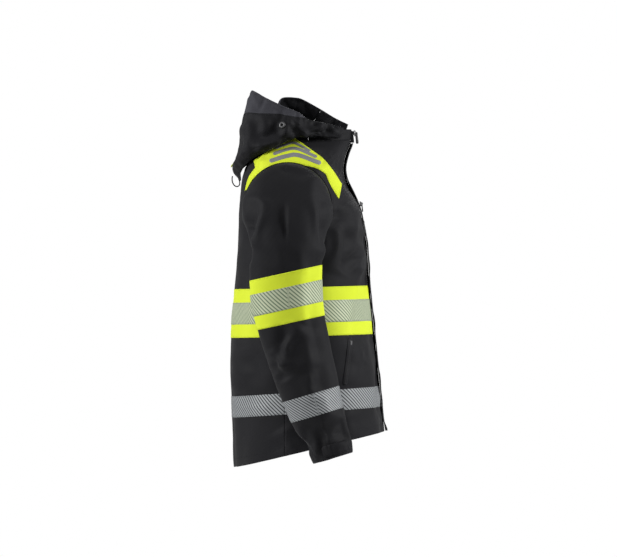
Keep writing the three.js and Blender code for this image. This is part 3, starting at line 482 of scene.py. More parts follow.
@dataclass(frozen=True)
class Fabric:
    """Woven shell fabric with a fine twill, a soft sheen and slight wear."""

    name: str
    light: tuple[float, float, float, float]
    dark: tuple[float, float, float, float]
    roughness: float = 0.66
    sheen: float = 0.02
    twill: float = 900.0
    relief: float = 0.35
    gloss: float = 0.06

    def material(self) -> bpy.types.Material:
        """Build the material."""
        g = Graph(self.name)
        uv = g.add("ShaderNodeUVMap", uv_map="cloth").outputs[0]
        place = g.add("ShaderNodeTexCoord").outputs["Object"]
        broad = g.texture(place, 7.0, 3.0)
        fine = g.texture(place, 160.0, 4.0, 0.6)
        blend = g.maths("ADD", g.maths("MULTIPLY", broad, 0.75), g.maths("MULTIPLY", fine, 0.3))
        base = g.mix(blend, self.dark, self.light)
        turned = g.add("ShaderNodeMapping", {"Vector": uv, "Rotation": (0.0, 0.0, 1.1)})
        ribs = g.add("ShaderNodeTexWave", {
            "Vector": turned.outputs[0], "Scale": self.twill / 20, "Distortion": 0.6,
            "Detail": 2.0, "Detail Scale": 6.0}, wave_type="BANDS")
        yarn = g.maths("MULTIPLY", ribs.outputs["Fac"], fine)
        base = g.mix(g.maths("MULTIPLY", ribs.outputs["Fac"], 0.16), base, self.dark)
        g.link(base, "Base Color")
        rough = g.maths("ADD", g.maths("MULTIPLY", fine, 0.14), self.roughness - 0.07)
        g.link(rough, "Roughness")
        weave = g.bump(yarn, 0.0004, self.relief)
        soft = g.bump(broad, 0.012, 0.16, weave)
        g.link(soft, "Normal")
        g.shader.inputs["Sheen Weight"].default_value = self.sheen
        g.shader.inputs["Sheen Roughness"].default_value = 0.45
        g.shader.inputs["Specular IOR Level"].default_value = self.gloss
        return g.material


@dataclass(frozen=True)
class HatchTape:
    """Reflective tape of glass beads, with fine slanted cuts through its silver."""

    name: str
    silver: tuple[float, float, float, float]
    gap: tuple[float, float, float, float]
    pitch: float = 0.0094
    share: float = 0.3
    slant: float = 1.0
    chevron: bool = False

    def material(self) -> bpy.types.Material:
        """Build the material."""
        g = Graph(self.name)
        uv = g.add("ShaderNodeUVMap", uv_map="cloth").outputs[0]
        place = g.add("ShaderNodeTexCoord").outputs["Object"]
        across, along = g.add("ShaderNodeSeparateXYZ", {"Vector": uv}).outputs[:2]
        if self.chevron:
            across = g.maths("ABSOLUTE", across)
        slanted = g.maths("ADD", across, g.maths("MULTIPLY", along, self.slant))
        wave = g.maths("SINE", g.maths("MULTIPLY", slanted, 2 * math.pi / self.pitch))
        cut = g.add("ShaderNodeMapRange", {
            "Value": wave, "From Min": 1 - 2 * self.share - 0.25,
            "From Max": 1 - 2 * self.share + 0.25}, interpolation_type="SMOOTHSTEP").outputs[0]
        beads = g.texture(place, 900.0, 2.0)
        cloudy = g.texture(place, 16.0, 3.0)
        duller = tuple(c * 0.84 for c in self.silver[:3]) + (1.0,)
        silver = g.mix(cloudy, duller, self.silver)
        base = g.mix(cut, silver, self.gap)
        g.link(base, "Base Color")
        g.link(g.maths("ADD", g.maths("MULTIPLY", cut, 0.2), 0.58), "Roughness")
        g.link(g.maths("MULTIPLY", g.maths("SUBTRACT", 1.0, cut), 0.12), "Metallic")
        relief = g.bump(g.maths("SUBTRACT", 1.0, cut), 0.0003, 0.5)
        g.link(g.bump(beads, 0.0002, 0.35, relief), "Normal")
        g.shader.inputs["Specular IOR Level"].default_value = 0.3
        return g.material


@dataclass(frozen=True)
class GreyFilm:
    """Plain grey heat-sealed film of glass beads, a little scuffed."""

    name: str
    grey: tuple[float, float, float, float]

    def material(self) -> bpy.types.Material:
        """Build the material."""
        g = Graph(self.name)
        place = g.add("ShaderNodeTexCoord").outputs["Object"]
        beads = g.texture(place, 900.0, 2.0)
        scuffs = g.texture(place, 26.0, 4.0, 0.6)
        duller = tuple(c * 0.78 for c in self.grey[:3]) + (1.0,)
        g.link(g.mix(scuffs, duller, self.grey), "Base Color")
        g.link(g.maths("ADD", g.maths("MULTIPLY", scuffs, 0.25), 0.4), "Roughness")
        g.link(g.bump(beads, 0.0002, 0.35), "Normal")
        g.shader.inputs["Specular IOR Level"].default_value = 0.3
        return g.material


@dataclass(frozen=True)
class Moulded:
    """Moulded or cast small part, slightly worn."""

    name: str
    base: tuple[float, float, float, float]
    roughness: float
    metallic: float = 0.0

    def material(self) -> bpy.types.Material:
        """Build the material."""
        g = Graph(self.name)
        place = g.add("ShaderNodeTexCoord").outputs["Object"]
        grain = g.texture(place, 700.0, 3.0)
        wear = g.texture(place, 60.0, 4.0)
        lighter = tuple(min(c * 1.8 + 0.01, 1.0) for c in self.base[:3]) + (1.0,)
        g.link(g.mix(wear, self.base, lighter), "Base Color")
        g.link(g.maths("ADD", g.maths("MULTIPLY", wear, 0.2), self.roughness - 0.1), "Roughness")
        g.link(g.bump(grain, 0.0003, 0.3), "Normal")
        g.shader.inputs["Metallic"].default_value = self.metallic
        return g.material


@dataclass(frozen=True)
class Braid:
    """Braided thread or elastic."""

    name: str
    base: tuple[float, float, float, float]
    strands: float = 700.0

    def material(self) -> bpy.types.Material:
        """Build the material."""
        g = Graph(self.name)
        place = g.add("ShaderNodeTexCoord").outputs["Object"]
        one = g.add("ShaderNodeTexWave", {"Vector": place, "Scale": self.strands / 6,
                                          "Distortion": 1.5, "Detail": 1.0})
        fuzz = g.texture(place, 1200.0, 2.0)
        lighter = tuple(min(c * 2.2 + 0.01, 1.0) for c in self.base[:3]) + (1.0,)
        g.link(g.mix(one.outputs["Fac"], self.base, lighter), "Base Color")
        g.link(g.bump(g.maths("ADD", one.outputs["Fac"], fuzz), 0.0003, 0.6), "Normal")
        g.shader.inputs["Roughness"].default_value = 0.85
        g.shader.inputs["Specular IOR Level"].default_value = 0.1
        return g.material


class Finishes:
    """All finishes of the coat."""

    def __init__(self) -> None:
        """Build each material once."""
        self.shell = Fabric("shell_fabric", colour(22, 22, 25), colour(16, 16, 17)).material()
        self.brim = Fabric("brim_fabric", colour(48, 48, 53), colour(40, 40, 44)).material()
        self.lining = Fabric("lining_fabric", colour(28, 28, 31), colour(20, 20, 22), 0.6,
                             0.0, 600.0, 0.2, 0.1).material()
        self.yellow = Fabric("yellow_fabric", colour(172, 184, 44), colour(156, 169, 28), 0.8,
                             0.0, 1100.0, 0.3, 0.12).material()
        self.upper_tape = HatchTape("hatched_tape", colour(150, 156, 132),
                                    colour(72, 88, 68)).material()
        self.lower_tape = HatchTape("lower_hatched_tape", colour(122, 125, 127),
                                    colour(20, 22, 25), share=0.34).material()
        self.front_tape = HatchTape("front_hatched_tape", colour(122, 125, 127),
                                    colour(20, 22, 25), share=0.34, chevron=True).material()
        self.bar_film = GreyFilm("grey_bar_film", colour(104, 105, 107)).material()
        self.plastic = Moulded("black_plastic", colour(22, 22, 24), 0.5).material()
        self.black_metal = Moulded("black_lacquered_metal", colour(26, 26, 28), 0.4, 0.3).material()
        self.elastic = Braid("elastic", colour(14, 14, 16)).material()
        self.thread = Braid("sewing_thread", colour(17, 17, 19)).material()
        self.bright_thread = Braid("yellow_thread", colour(130, 146, 20)).material()
        self.pale_thread = Braid("pale_thread", colour(84, 88, 84)).material()


# ------------------------------------------------------------------ stitches and teeth


class Stitcher:
    """Geometry Nodes tree that lays one small solid again and again along paths."""

    def __init__(self) -> None:
        """Build the tree: resample the paths, lay the solid on each point, make it real."""
        tree = bpy.data.node_groups.new("laid_along_paths", "GeometryNodeTree")
        face = tree.interface
        face.new_socket("Geometry", in_out="INPUT", socket_type="NodeSocketGeometry")
        self.sockets = {}
        for name, kind, value in (("Pitch", "NodeSocketFloat", 0.0035),
                                  ("Length", "NodeSocketFloat", 0.0024),
                                  ("Width", "NodeSocketFloat", 0.0006),
                                  ("Height", "NodeSocketFloat", 0.0004),
                                  ("Finish", "NodeSocketMaterial", None)):
            socket = face.new_socket(name, in_out="INPUT", socket_type=kind)
            if value is not None:
                socket.default_value = value
            self.sockets[name] = socket.identifier
        face.new_socket("Geometry", in_out="OUTPUT", socket_type="NodeSocketGeometry")
        nodes, links = tree.nodes, tree.links
        source = nodes.new("NodeGroupInput")
        result = nodes.new("NodeGroupOutput")
        path = nodes.new("GeometryNodeMeshToCurve")
        even = nodes.new("GeometryNodeResampleCurve")
        even.mode = "LENGTH"
        bead = nodes.new("GeometryNodeMeshIcoSphere")
        bead.inputs["Subdivisions"].default_value = 1
        bead.inputs["Radius"].default_value = 0.5
        lay = nodes.new("GeometryNodeInstanceOnPoints")
        turn = nodes.new("FunctionNodeAlignRotationToVector")
        turn.axis = "X"
        tangent = nodes.new("GeometryNodeInputTangent")
        size = nodes.new("ShaderNodeCombineXYZ")
        real = nodes.new("GeometryNodeRealizeInstances")
        dress = nodes.new("GeometryNodeSetMaterial")
        links.new(source.outputs["Geometry"], path.inputs["Mesh"])
        links.new(path.outputs["Curve"], even.inputs["Curve"])
        links.new(source.outputs["Pitch"], even.inputs["Length"])
        links.new(even.outputs["Curve"], lay.inputs["Points"])
        links.new(bead.outputs["Mesh"], lay.inputs["Instance"])
        links.new(tangent.outputs["Tangent"], turn.inputs["Vector"])
        links.new(turn.outputs["Rotation"], lay.inputs["Rotation"])
        for axis, name in (("X", "Length"), ("Y", "Width"), ("Z", "Height")):
            links.new(source.outputs[name], size.inputs[axis])
        links.new(size.outputs["Vector"], lay.inputs["Scale"])
        links.new(lay.outputs["Instances"], real.inputs["Geometry"])
        links.new(real.outputs["Geometry"], dress.inputs["Geometry"])
        links.new(source.outputs["Finish"], dress.inputs["Material"])
        links.new(dress.outputs["Geometry"], result.inputs["Geometry"])
        self.tree = tree

    def lay(self, name: str, segments: Sequence[Array], finish: bpy.types.Material,
            pitch: float = 0.0035, length: float = 0.0026, width: float = 0.0007,
            height: float = 0.0005) -> bpy.types.Object | None:
        """Lay stitches, or teeth, along paths and keep them as a plain mesh.

        Args:
            name: name of the piece.
            segments: short straight segments that make up the paths.
            finish: material of the solids.
            pitch: distance between them.
            length: size of each along the path.
            width: size across.
            height: size off the cloth.

        Returns:
            The plain mesh, or None where there is no path.
        """
        if not segments:
            return None
        points = np.concatenate(segments)
        keys = np.round(points / 2e-6).astype(np.int64)
        _, first, index = np.unique(keys, axis=0, return_index=True, return_inverse=True)
        index = index.ravel()
        edges, start = [], 0
        for segment in segments:
            edges += [(int(index[start + i]), int(index[start + i + 1]))
                      for i in range(len(segment) - 1)]
            start += len(segment)
        edges = [(a, b) for a, b in edges if a != b]
        mesh = bpy.data.meshes.new(name + "_path")
        mesh.from_pydata(points[first].tolist(), edges, [])
        carrier = bpy.data.objects.new(name + "_path", mesh)
        bpy.context.scene.collection.objects.link(carrier)
        modifier = carrier.modifiers.new("stitches", "NODES")
        modifier.node_group = self.tree
        values = {"Pitch": pitch, "Length": length, "Width": width, "Height": height,
                  "Finish": finish}
        for key, value in values.items():
            modifier[self.sockets[key]] = value
        bpy.context.view_layer.update()
        seen = carrier.evaluated_get(bpy.context.evaluated_depsgraph_get())
        baked = bpy.data.meshes.new_from_object(seen)
        bpy.data.objects.remove(carrier)
        baked.name = name
        obj = bpy.data.objects.new(name, baked)
        bpy.context.scene.collection.objects.link(obj)
        if not baked.materials:
            baked.materials.append(finish)
        return obj


# ------------------------------------------------------------------ cloth simulation


@dataclass(frozen=True)
class Settle:
    """Cloth simulation of a surface whose borders are held while slack in it finds its folds."""

    slack: float = 0.04
    frames: int = 18
    cap: float = 0.009
    pressure: float = 0.0
    step: int = 3

    def height(self, cloth: Cloth, held: Array) -> Array:
        """Fold heights from a simulation on a coarser copy.

        Args:
            cloth: the surface.
            held: 1 where it is held fast and 0 where it is free, for each point.
        """
        rows, columns = cloth.points.shape[:2]
        pick_r = np.unique(np.append(np.arange(0, rows, self.step), rows - 1))
        pick_c = np.unique(np.append(np.arange(0, columns, self.step), columns - 1))
        coarse = cloth.points[np.ix_(pick_r, pick_c)]
        shape = coarse.shape[:2]
        index = np.arange(shape[0] * shape[1]).reshape(shape)
        faces = np.stack([index[:-1, :-1], index[1:, :-1], index[1:, 1:], index[:-1, 1:]],
                         axis=-1).reshape(-1, 4)
        scale = 4.0
        obj = make_mesh("settling", coarse.reshape(-1, 3) * scale, faces)
        group = obj.vertex_groups.new(name="held")
        weight = held[np.ix_(pick_r, pick_c)].ravel()
        for i, value in enumerate(weight):
            if value > 0:
                group.add([i], float(value), "REPLACE")
        modifier = obj.modifiers.new("cloth", "CLOTH")
        settings = modifier.settings
        settings.quality = 6
        settings.vertex_group_mass = "held"
        settings.pin_stiffness = 1.0
        settings.shrink_min = -self.slack
        settings.tension_stiffness = 20
        settings.compression_stiffness = 20
        settings.bending_stiffness = 1.2
        settings.air_damping = 3
        settings.effector_weights.gravity = 0.35
        if self.pressure:
            settings.use_pressure = True
            settings.uniform_pressure_force = self.pressure
        modifier.collision_settings.use_collision = False
        modifier.collision_settings.use_self_collision = False
        modifier.point_cache.frame_end = self.frames + 1
        scene = bpy.context.scene
        for number in range(1, self.frames + 1):
            scene.frame_set(number)
        seen = obj.evaluated_get(bpy.context.evaluated_depsgraph_get())
        moved = np.zeros(len(seen.data.vertices) * 3)
        seen.data.vertices.foreach_get("co", moved)
        bpy.data.objects.remove(obj)
        scene.frame_set(1)
        shift = (moved.reshape(*shape, 3) / scale - coarse)
        along = (shift * cloth.normals[np.ix_(pick_r, pick_c)]).sum(axis=2)
        along = self.cap * np.tanh(along / self.cap)
        spread = np.array([np.interp(np.arange(columns), pick_c, row) for row in along])
        fine = np.array([np.interp(np.arange(rows), pick_r, column) for column in spread.T]).T
        return soften(fine, 2)


def soften(height: Array, rounds: int) -> Array:
    """Average each point of a grid with its neighbours a few times."""
    for _ in range(rounds):
        padded = np.pad(height, 1, mode="edge")
        height = (padded[1:-1, 1:-1] * 4 + padded[:-2, 1:-1] + padded[2:, 1:-1]
                  + padded[1:-1, :-2] + padded[1:-1, 2:]) / 8
    return height


# ------------------------------------------------------------------ where pieces ride


def ride(body: str) -> Callable[[bpy.types.Object], None]:
    """Rule that puts a piece on one body."""
    return lambda obj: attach(obj, body)


def across_turn() -> Callable[[bpy.types.Object], None]:
    """Rule that bakes a piece's placing into its points, leaving it on no body."""
    return lambda obj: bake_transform(obj)


def across_elbow(side: Side) -> Callable[[bpy.types.Object], None]:
    """Rule that bakes a piece's placing into its points, leaving it on no body."""
    return lambda obj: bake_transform(obj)


@dataclass
class Maker:
    """Finishes, stitcher and the shared steps that finish a piece."""

    finishes: Finishes
    stitcher: Stitcher

    def piece(self, obj: bpy.types.Object, finish: bpy.types.Material, slot: str,
              place: Callable[[bpy.types.Object], None], *nodes: str,
              lining: bpy.types.Material | None = None) -> bpy.types.Object:
        """Dress a piece, put it on its body and let it stand for CAD nodes.

        Args:
            obj: the piece.
            finish: its material.
            slot: not used.
            place: rule that puts it on its body.
            nodes: CAD nodes that it stands for.
            lining: material of the faces turned inwards, if it has another.

        Returns:
            The piece.
        """
        if obj.data.materials:
            obj.data.materials[0] = finish
        else:
            obj.data.materials.append(finish)
        if lining is not None:
            obj.data.materials.append(lining)
            count = len(obj.data.polygons)
            outer = obj.get("outer_faces", count)
            index = [1 if outer <= i < 2 * outer else 0 for i in range(count)]
            obj.data.polygons.foreach_set("material_index", index)
        if "outer_faces" in obj:
            del obj["outer_faces"]
        place(obj)
        if nodes:
            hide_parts(*nodes)
        LOG.info("%s: %d faces", obj.name, len(obj.data.polygons))
        return obj

    def stitches(self, name: str, segments: list[Array], finish: bpy.types.Material,
                 slot: str, place: Callable[[bpy.types.Object], None], **sizes: float) -> None:
        """Lay stitches along paths and put them on the same body as their piece."""
        obj = self.stitcher.lay(name, segments, finish, **sizes)
        if obj is not None:
            self.piece(obj, finish, slot, place)


# ------------------------------------------------------------------ torso


@dataclass
class Torso:
    """Body of the coat: back, fronts, collar, yokes, bands, tapes and pockets."""

    maker: Maker
    thickness: float = 0.0022
    trim: float = 0.0009
    columns: int = 324
    row_step: float = 0.0044
    squareness: float = 2.35
    stations: tuple = ((27, 72, 66), (12, 74, 64), (0, 80, 63), (-14, 108, 72), (-32, 150, 86),
                       (-54, 194, 100), (-84, 221, 110), (-130, 231, 116), (-230, 234, 118),
                       (-340, 234, 125), (-475, 237, 136), (-620, 241, 137), (-810, 246, 132))
    front_line: tuple = ((28, -149), (-5, -145), (-36, -134), (-65, -128), (-103, -135),
                         (-150, -158), (-200, -171.6), (-360, -187.6), (-560, -207.7),
                         (-810, -232.8))
    armhole_radius: float = 0.106
    shoulder: tuple = (0.005, -0.161)
    side_seam: float = 0.012
    hem: tuple = (0.133, -0.786)
    hem_slope: float = 86 / 360
    placket_gap: float = 0.0065
    collar_split: float = -0.044

    def front_y(self, z: Array) -> Array:
        """Depth of the centre front at a height."""
        return spline(self.front_line, np.atleast_1d(z) / MM)[:, 0] * MM

    def build(self) -> None:
        """Build the cloth and all the pieces cut from it."""
        self.cloth = self.folded(self.surface())
        for side in Side:
            self.front(side)
            self.yoke(side)
            self.pocket(side)
        self.back()

    def surface(self) -> Cloth:
        """Smooth surface of the worn coat, from the collar's top to below the hem."""
        dense = np.linspace(27, -810, 1600)
        profile = spline(self.stations, dense)
        run = np.concatenate([[0], np.cumsum(np.hypot(np.diff(dense), np.diff(profile[:, 0])))])
        rows = int(run[-1] * MM / self.row_step)
        heights = np.interp(np.linspace(0, run[-1], rows), run, dense)
        half, back = (spline(self.stations, heights) * MM).T
        front = self.front_y(heights * MM)
        angle = np.linspace(-math.pi / 2, 3 * math.pi / 2, self.columns + 1)
        power = 2 / self.squareness
        bend = lambda t: np.sign(t) * np.abs(t) ** power
        cos, sin = bend(np.cos(angle)), bend(np.sin(angle))
        middle, depth = (back + front) / 2, (back - front) / 2
        x = half[:, None] * cos
        y = middle[:, None] + depth[:, None] * sin
        z = np.broadcast_to((heights * MM)[:, None], x.shape)
        return Cloth.over(np.stack([x, y, z], axis=2))

    def folded(self, cloth: Cloth) -> Cloth:
        """Add the folds of worn cloth."""
        x, y, z = (cloth.points[..., i] for i in range(3))
        held = np.clip(smooth(-0.10, -0.03, z) + smooth(0.04, 0.012, np.abs(x)) * (y < 0), 0, 1)
        held = np.maximum(held, smooth(0.03, 0.0, np.abs(np.hypot(y - 0.005, z + 0.161) - 0.106))
                          * (np.abs(x) > 0.15))
        fall = Settle(slack=0.03, frames=14, cap=0.006, step=5).height(cloth, held)
        free = smooth(-0.12, -0.30, z) * smooth(0.0, 0.05, np.abs(x) + (y > 0) * 0.05)
        hang = np.sin(cloth.uv[..., 0] * 34 + 1.2 * np.sin(z * 7)) * 0.5
        hang = hang + 0.5 * np.sin(cloth.uv[..., 0] * 61 + 2.0 + 1.6 * np.sin(z * 5 + 1))
        low = smooth(-0.45, -0.78, z)
        height = fall + free * hang * (0.0012 + 0.0026 * low)
        height = height + 0.0011 * noise(y + x * 0.4, z, 4) * (0.35 + 0.65 * free)
        outer = smooth(0.03, 0.10, np.abs(x))
        for line, width, size in CHEST_FOLDS:
            height = height + 1.7 * outer * crease(y, z, np.array(line) * MM, 1.35 * width) * size
        clear = np.clip(smooth(0.020, 0.035, np.abs(x)) + (y > -0.05), 0, 1)
        return cloth.pushed(height * clear)

    def patch(self, *rules: Callable[[Patch], Array]) -> Patch:
        """Part of the torso's cloth inside every rule and clear of the armholes and hem."""
        piece = Patch.of(self.cloth)
        for rule in (*rules, self.above_hem, self.off_armhole):
            piece = piece.cut(rule)
        return piece

    def above_hem(self, p: Patch) -> Array:
        """Height above the hem."""
        return p["z"] - self.hem[1] - (self.hem[0] - p["y"]) * self.hem_slope

    def off_armhole(self, p: Patch) -> Array:
        """Distance outside the armhole's edge; large near the middle of the body."""
        away = np.hypot(p["y"] - self.shoulder[0], p["z"] - self.shoulder[1])
        return np.where(np.abs(p["x"]) > 0.12, away - self.armhole_radius, 0.1)

    def between(self, edges: tuple[float, float, float, float]) -> list[Callable]:
        """Rules of a band from its heights: top at the back and front, bottom at both."""
        top_back, top_front, low_back, low_front = (value * MM for value in edges)
        line = lambda y, back, front: front + (back - front) * (y + 0.200) / 0.330
        return [lambda p: line(p["y"], top_back, top_front) - p["z"],
                lambda p: p["z"] - line(p["y"], low_back, low_front)]

    def front(self, side: Side) -> None:
        """One front with its collar part, bands, tapes and seams."""
        f, word, sign = self.maker.finishes, side.word, side.value
        place = across_turn()
        centre = lambda p: sign * p["x"] - self.placket_gap
        ahead = lambda p: self.side_seam - 0.0001 - p["y"]
        panel = self.patch(centre, ahead, lambda p: -p["z"])
        obj = lined(sewn(f"{word}_front_cloth", panel, self.thickness, -self.thickness, 0.12),
                    panel)
        self.maker.piece(obj, f.shell, "shell_fabric", place, f"{word}_front_panel",
                         f"{word}_side_panel", lining=f.lining)
        collar = self.patch(centre, lambda p: p["z"] - 0.0004,
                            lambda p: 0.0265 - p["z"], lambda p: self.collar_split - p["y"])
        obj = sewn(f"{word}_collar_cloth", collar, self.thickness, -self.thickness, 0.5)
        self.maker.piece(obj, f.shell, "shell_fabric", place, f"{word}_collar_front")
        threads = panel.thread(lambda p: self.above_hem(p) - 0.020, 0.0002)
        threads += panel.thread(lambda p: self.off_armhole(p) - 0.004, 0.0002)
        threads += panel.thread(lambda p: self.side_seam - 0.005 - p["y"], 0.0002)
        threads += panel.thread(self.neck_seam, 0.0002)
        self.maker.stitches(f"{word}_front_stitches", threads, f.thread, "shell_fabric", place)
        self.bands(f"{word}", place, centre_edge(side), ahead,
                   (f"{word}_upper_band",), (f"{word}_upper_tape",), (f"{word}_lower_tape",))

    def neck_seam(self, p: Patch) -> Array:
        """Curved seam from beside the collar's front down to the yoke's front corner."""
        line = np.interp(p["z"], np.array([-52, -45, -29, 6, 24]) * MM,
                         np.array([-84, -93, -110, -124, -133]) * MM)
        return np.where((p["z"] > -0.047) & (np.abs(p["x"]) > 0.02), p["y"] - line, -1.0)

    def back(self) -> None:
        """Back panel with its collar part, bands, tapes and seams."""
        f, place = self.maker.finishes, ride("torso")
        behind = lambda p: p["y"] - self.side_seam - 0.0001
        panel = self.patch(behind, lambda p: -p["z"])
        obj = lined(sewn("back_cloth", panel, self.thickness, -self.thickness, 0.12), panel)
        self.maker.piece(obj, f.shell, "shell_fabric", place, "back_panel", lining=f.lining)
        collar = self.patch(lambda p: p["y"] - self.collar_split - 0.0004,
                            lambda p: p["z"] - 0.0004, lambda p: 0.0265 - p["z"])
        obj = sewn("collar_back_cloth", collar, self.thickness, -self.thickness, 0.5)
        self.maker.piece(obj, f.shell, "shell_fabric", place, "collar_back")
        threads = panel.thread(lambda p: self.above_hem(p) - 0.020, 0.0002)
        threads += panel.thread(lambda p: self.off_armhole(p) - 0.004, 0.0002)
        self.maker.stitches("back_stitches", threads, f.thread, "shell_fabric", place)
        self.bands("back", place, behind, behind, ("back_upper_band",), ("back_upper_tape",),
                   ("back_lower_tape",))

    def bands(self, word: str, place: Callable, inner: Callable, outer: Callable,
              band_nodes: tuple, tape_nodes: tuple, low_nodes: tuple) -> None:
        """Yellow band with its hatched tape, and the lower tape, on one part of the body."""
        f = self.maker.finishes
        rules = [inner, outer]
        band = self.patch(*rules, *self.between((-358, -349, -475, -466)))
        tape = self.patch(*rules, *self.between((-391, -381, -443, -434)))
        low = self.patch(*rules, *self.between((-615, -592, -666, -642)))
        self.maker.piece(sewn(f"{word}_yellow_band", band, self.trim, 0.0002), f.yellow,
                         "yellow_fabric", place, *band_nodes)
        self.maker.piece(sewn(f"{word}_hatched_tape", tape, self.trim * 0.6, 0.0012), f.upper_tape,
                         "reflective_tape", place, *tape_nodes)
        finish = f.lower_tape
        if word != "back":
            ahead = np.argmin(np.abs(low["y"] + 0.180))
            low.data[:, 6] -= low["u"][ahead]
            finish = f.front_tape
        self.maker.piece(sewn(f"{word}_lower_tape_cloth", low, self.trim * 0.7, 0.0002), finish,
                         "reflective_tape", place, *low_nodes)
        bright, pale = [], []
        for rule in self.between((-360.5, -351.5, -472.5, -463.5)):
            bright += band.thread(rule, 0.0013)
        for rule in self.between((-393.2, -383.2, -440.8, -431.8)):
            pale += tape.thread(rule, 0.0019)
        for rule in self.between((-617.2, -594.2, -663.8, -639.8)):
            pale += low.thread(rule, 0.0011)
        self.maker.stitches(f"{word}_band_stitches", bright, f.bright_thread, "yellow_fabric",
                            place)
        self.maker.stitches(f"{word}_tape_stitches", pale, f.pale_thread, "reflective_tape", place)

    def yoke(self, side: Side) -> None:
        """Yellow shoulder patch with its three grey bars."""
        f, word = self.maker.finishes, side.word
        place = ride("torso")
        on_side = lambda p: side.value * p["x"] - 0.062
        inside = lambda p: inside_outline(p["y"], p["z"], YOKE_OUTLINE) * MM
        patch = Patch.of(self.cloth).cut(on_side).cut(inside).cut(
            lambda p: self.off_armhole(p) - 0.0006)
        obj = sewn(f"{word}_yoke_cloth", patch, self.trim, 0.0002)
        self.maker.piece(obj, f.yellow, "yellow_fabric", place, f"{word}_shoulder_yoke")
        threads = patch.thread(lambda p: inside(p) - 0.0025, 0.0013)
        threads += patch.thread(lambda p: self.off_armhole(p) - 0.0035, 0.0013)
        self.maker.stitches(f"{word}_yoke_stitches", threads, f.bright_thread, "yellow_fabric",
                            place)
        for i, (line, width) in enumerate(zip(SHOULDER_BARS, BAR_WIDTHS)):
            route = curve_through(line, 24)
            near = lambda p: width * MM / 2 - distance_to(p["y"], p["z"], route * MM)
            bar = Patch.of(self.cloth).cut(on_side).cut(near)
            obj = sewn(f"{word}_grey_bar_{i + 1}", bar, 0.0005, 0.0012, 0.6)
            self.maker.piece(obj, f.bar_film, "reflective_tape", place,
                             f"{word}_shoulder_bar_{i + 1}")

    def pocket(self, side: Side) -> None:
        """Slanted hand pocket with its welt and zip."""
        f, word = self.maker.finishes, side.word
        place = across_turn()
        route = curve_through([(-144, -478), (-138, -531), (-131, -583)], 16) * MM
        on_side = lambda p: side.value * p["x"] - 0.10
        away = lambda p: distance_to(p["y"], p["z"], route)
        welt = Patch.of(self.cloth).cut(on_side).cut(lambda p: 0.0055 - away(p))
        self.maker.piece(sewn(f"{word}_pocket_welt", welt, 0.0012, 0.0001), f.shell,
                         "shell_fabric", place, f"{word}_pocket_zip")
        ring = Patch.of(self.cloth).cut(on_side)
        threads = ring.thread(lambda p: 0.0095 - away(p), 0.0002)
        self.maker.stitches(f"{word}_pocket_stitches", threads, f.thread, "shell_fabric", place)
        line = lambda p: np.where(away(p) < 0.02, p["y"] - np.interp(
            p["z"], route[::-1, 1], route[::-1, 0]), 1.0)
        teeth = welt.cut(lambda p: 0.0525 - np.abs(p["z"] + 0.5305)).thread(line, 0.0015)
        self.maker.stitches(f"{word}_pocket_teeth", teeth, f.plastic, "black_plastic", place,
                            pitch=0.0024, length=0.0015, width=0.0040, height=0.0014)


def lined(obj: bpy.types.Object, patch: Patch) -> bpy.types.Object:
    """Remember how many outer faces a sewn piece has, so that its inside can be lined."""
    obj["outer_faces"] = len(patch.quads) + len(patch.polys)
    return obj


def centre_edge(side: Side) -> Callable[[Patch], Array]:
    """Where bands end beside the placket: short of the zip, or of the flap's seam."""
    reach = 0.0235 if side is Side.LEFT else 0.0185
    return lambda p: side.value * p["x"] - reach


def curve_through(points: Sequence[Sequence[float]], steps: int) -> Array:
    """Smooth run of points through a few."""
    table = [(i, *point) for i, point in enumerate(points)]
    return spline(table, np.linspace(0, len(points) - 1, steps))


def distance_to(a: Array, b: Array, route: Array) -> Array:
    """Distance of each point from a polyline."""
    best = np.full_like(a, 1e9)
    for start, end in zip(route[:-1], route[1:]):
        d = end - start
        t = np.clip(((a - start[0]) * d[0] + (b - start[1]) * d[1]) / (d @ d), 0, 1)
        best = np.minimum(best, np.hypot(a - start[0] - t * d[0], b - start[1] - t * d[1]))
    return best


def inside_outline(y: Array, z: Array, outline: Array) -> Array:
    """Distance inside a closed outline in millimetres, negative outside."""
    a, b = y / MM, z / MM
    closed = np.vstack([outline, outline[:1]])
    away = distance_to(a, b, closed)
    odd = np.zeros(a.shape, bool)
    for (y0, z0), (y1, z1) in zip(closed[:-1], closed[1:]):
        if z0 != z1:
            crossing = (z0 > b) != (z1 > b)
            odd ^= crossing & (a < (y1 - y0) * (b - z0) / (z1 - z0) + y0)
    return np.where(odd, away, -away)


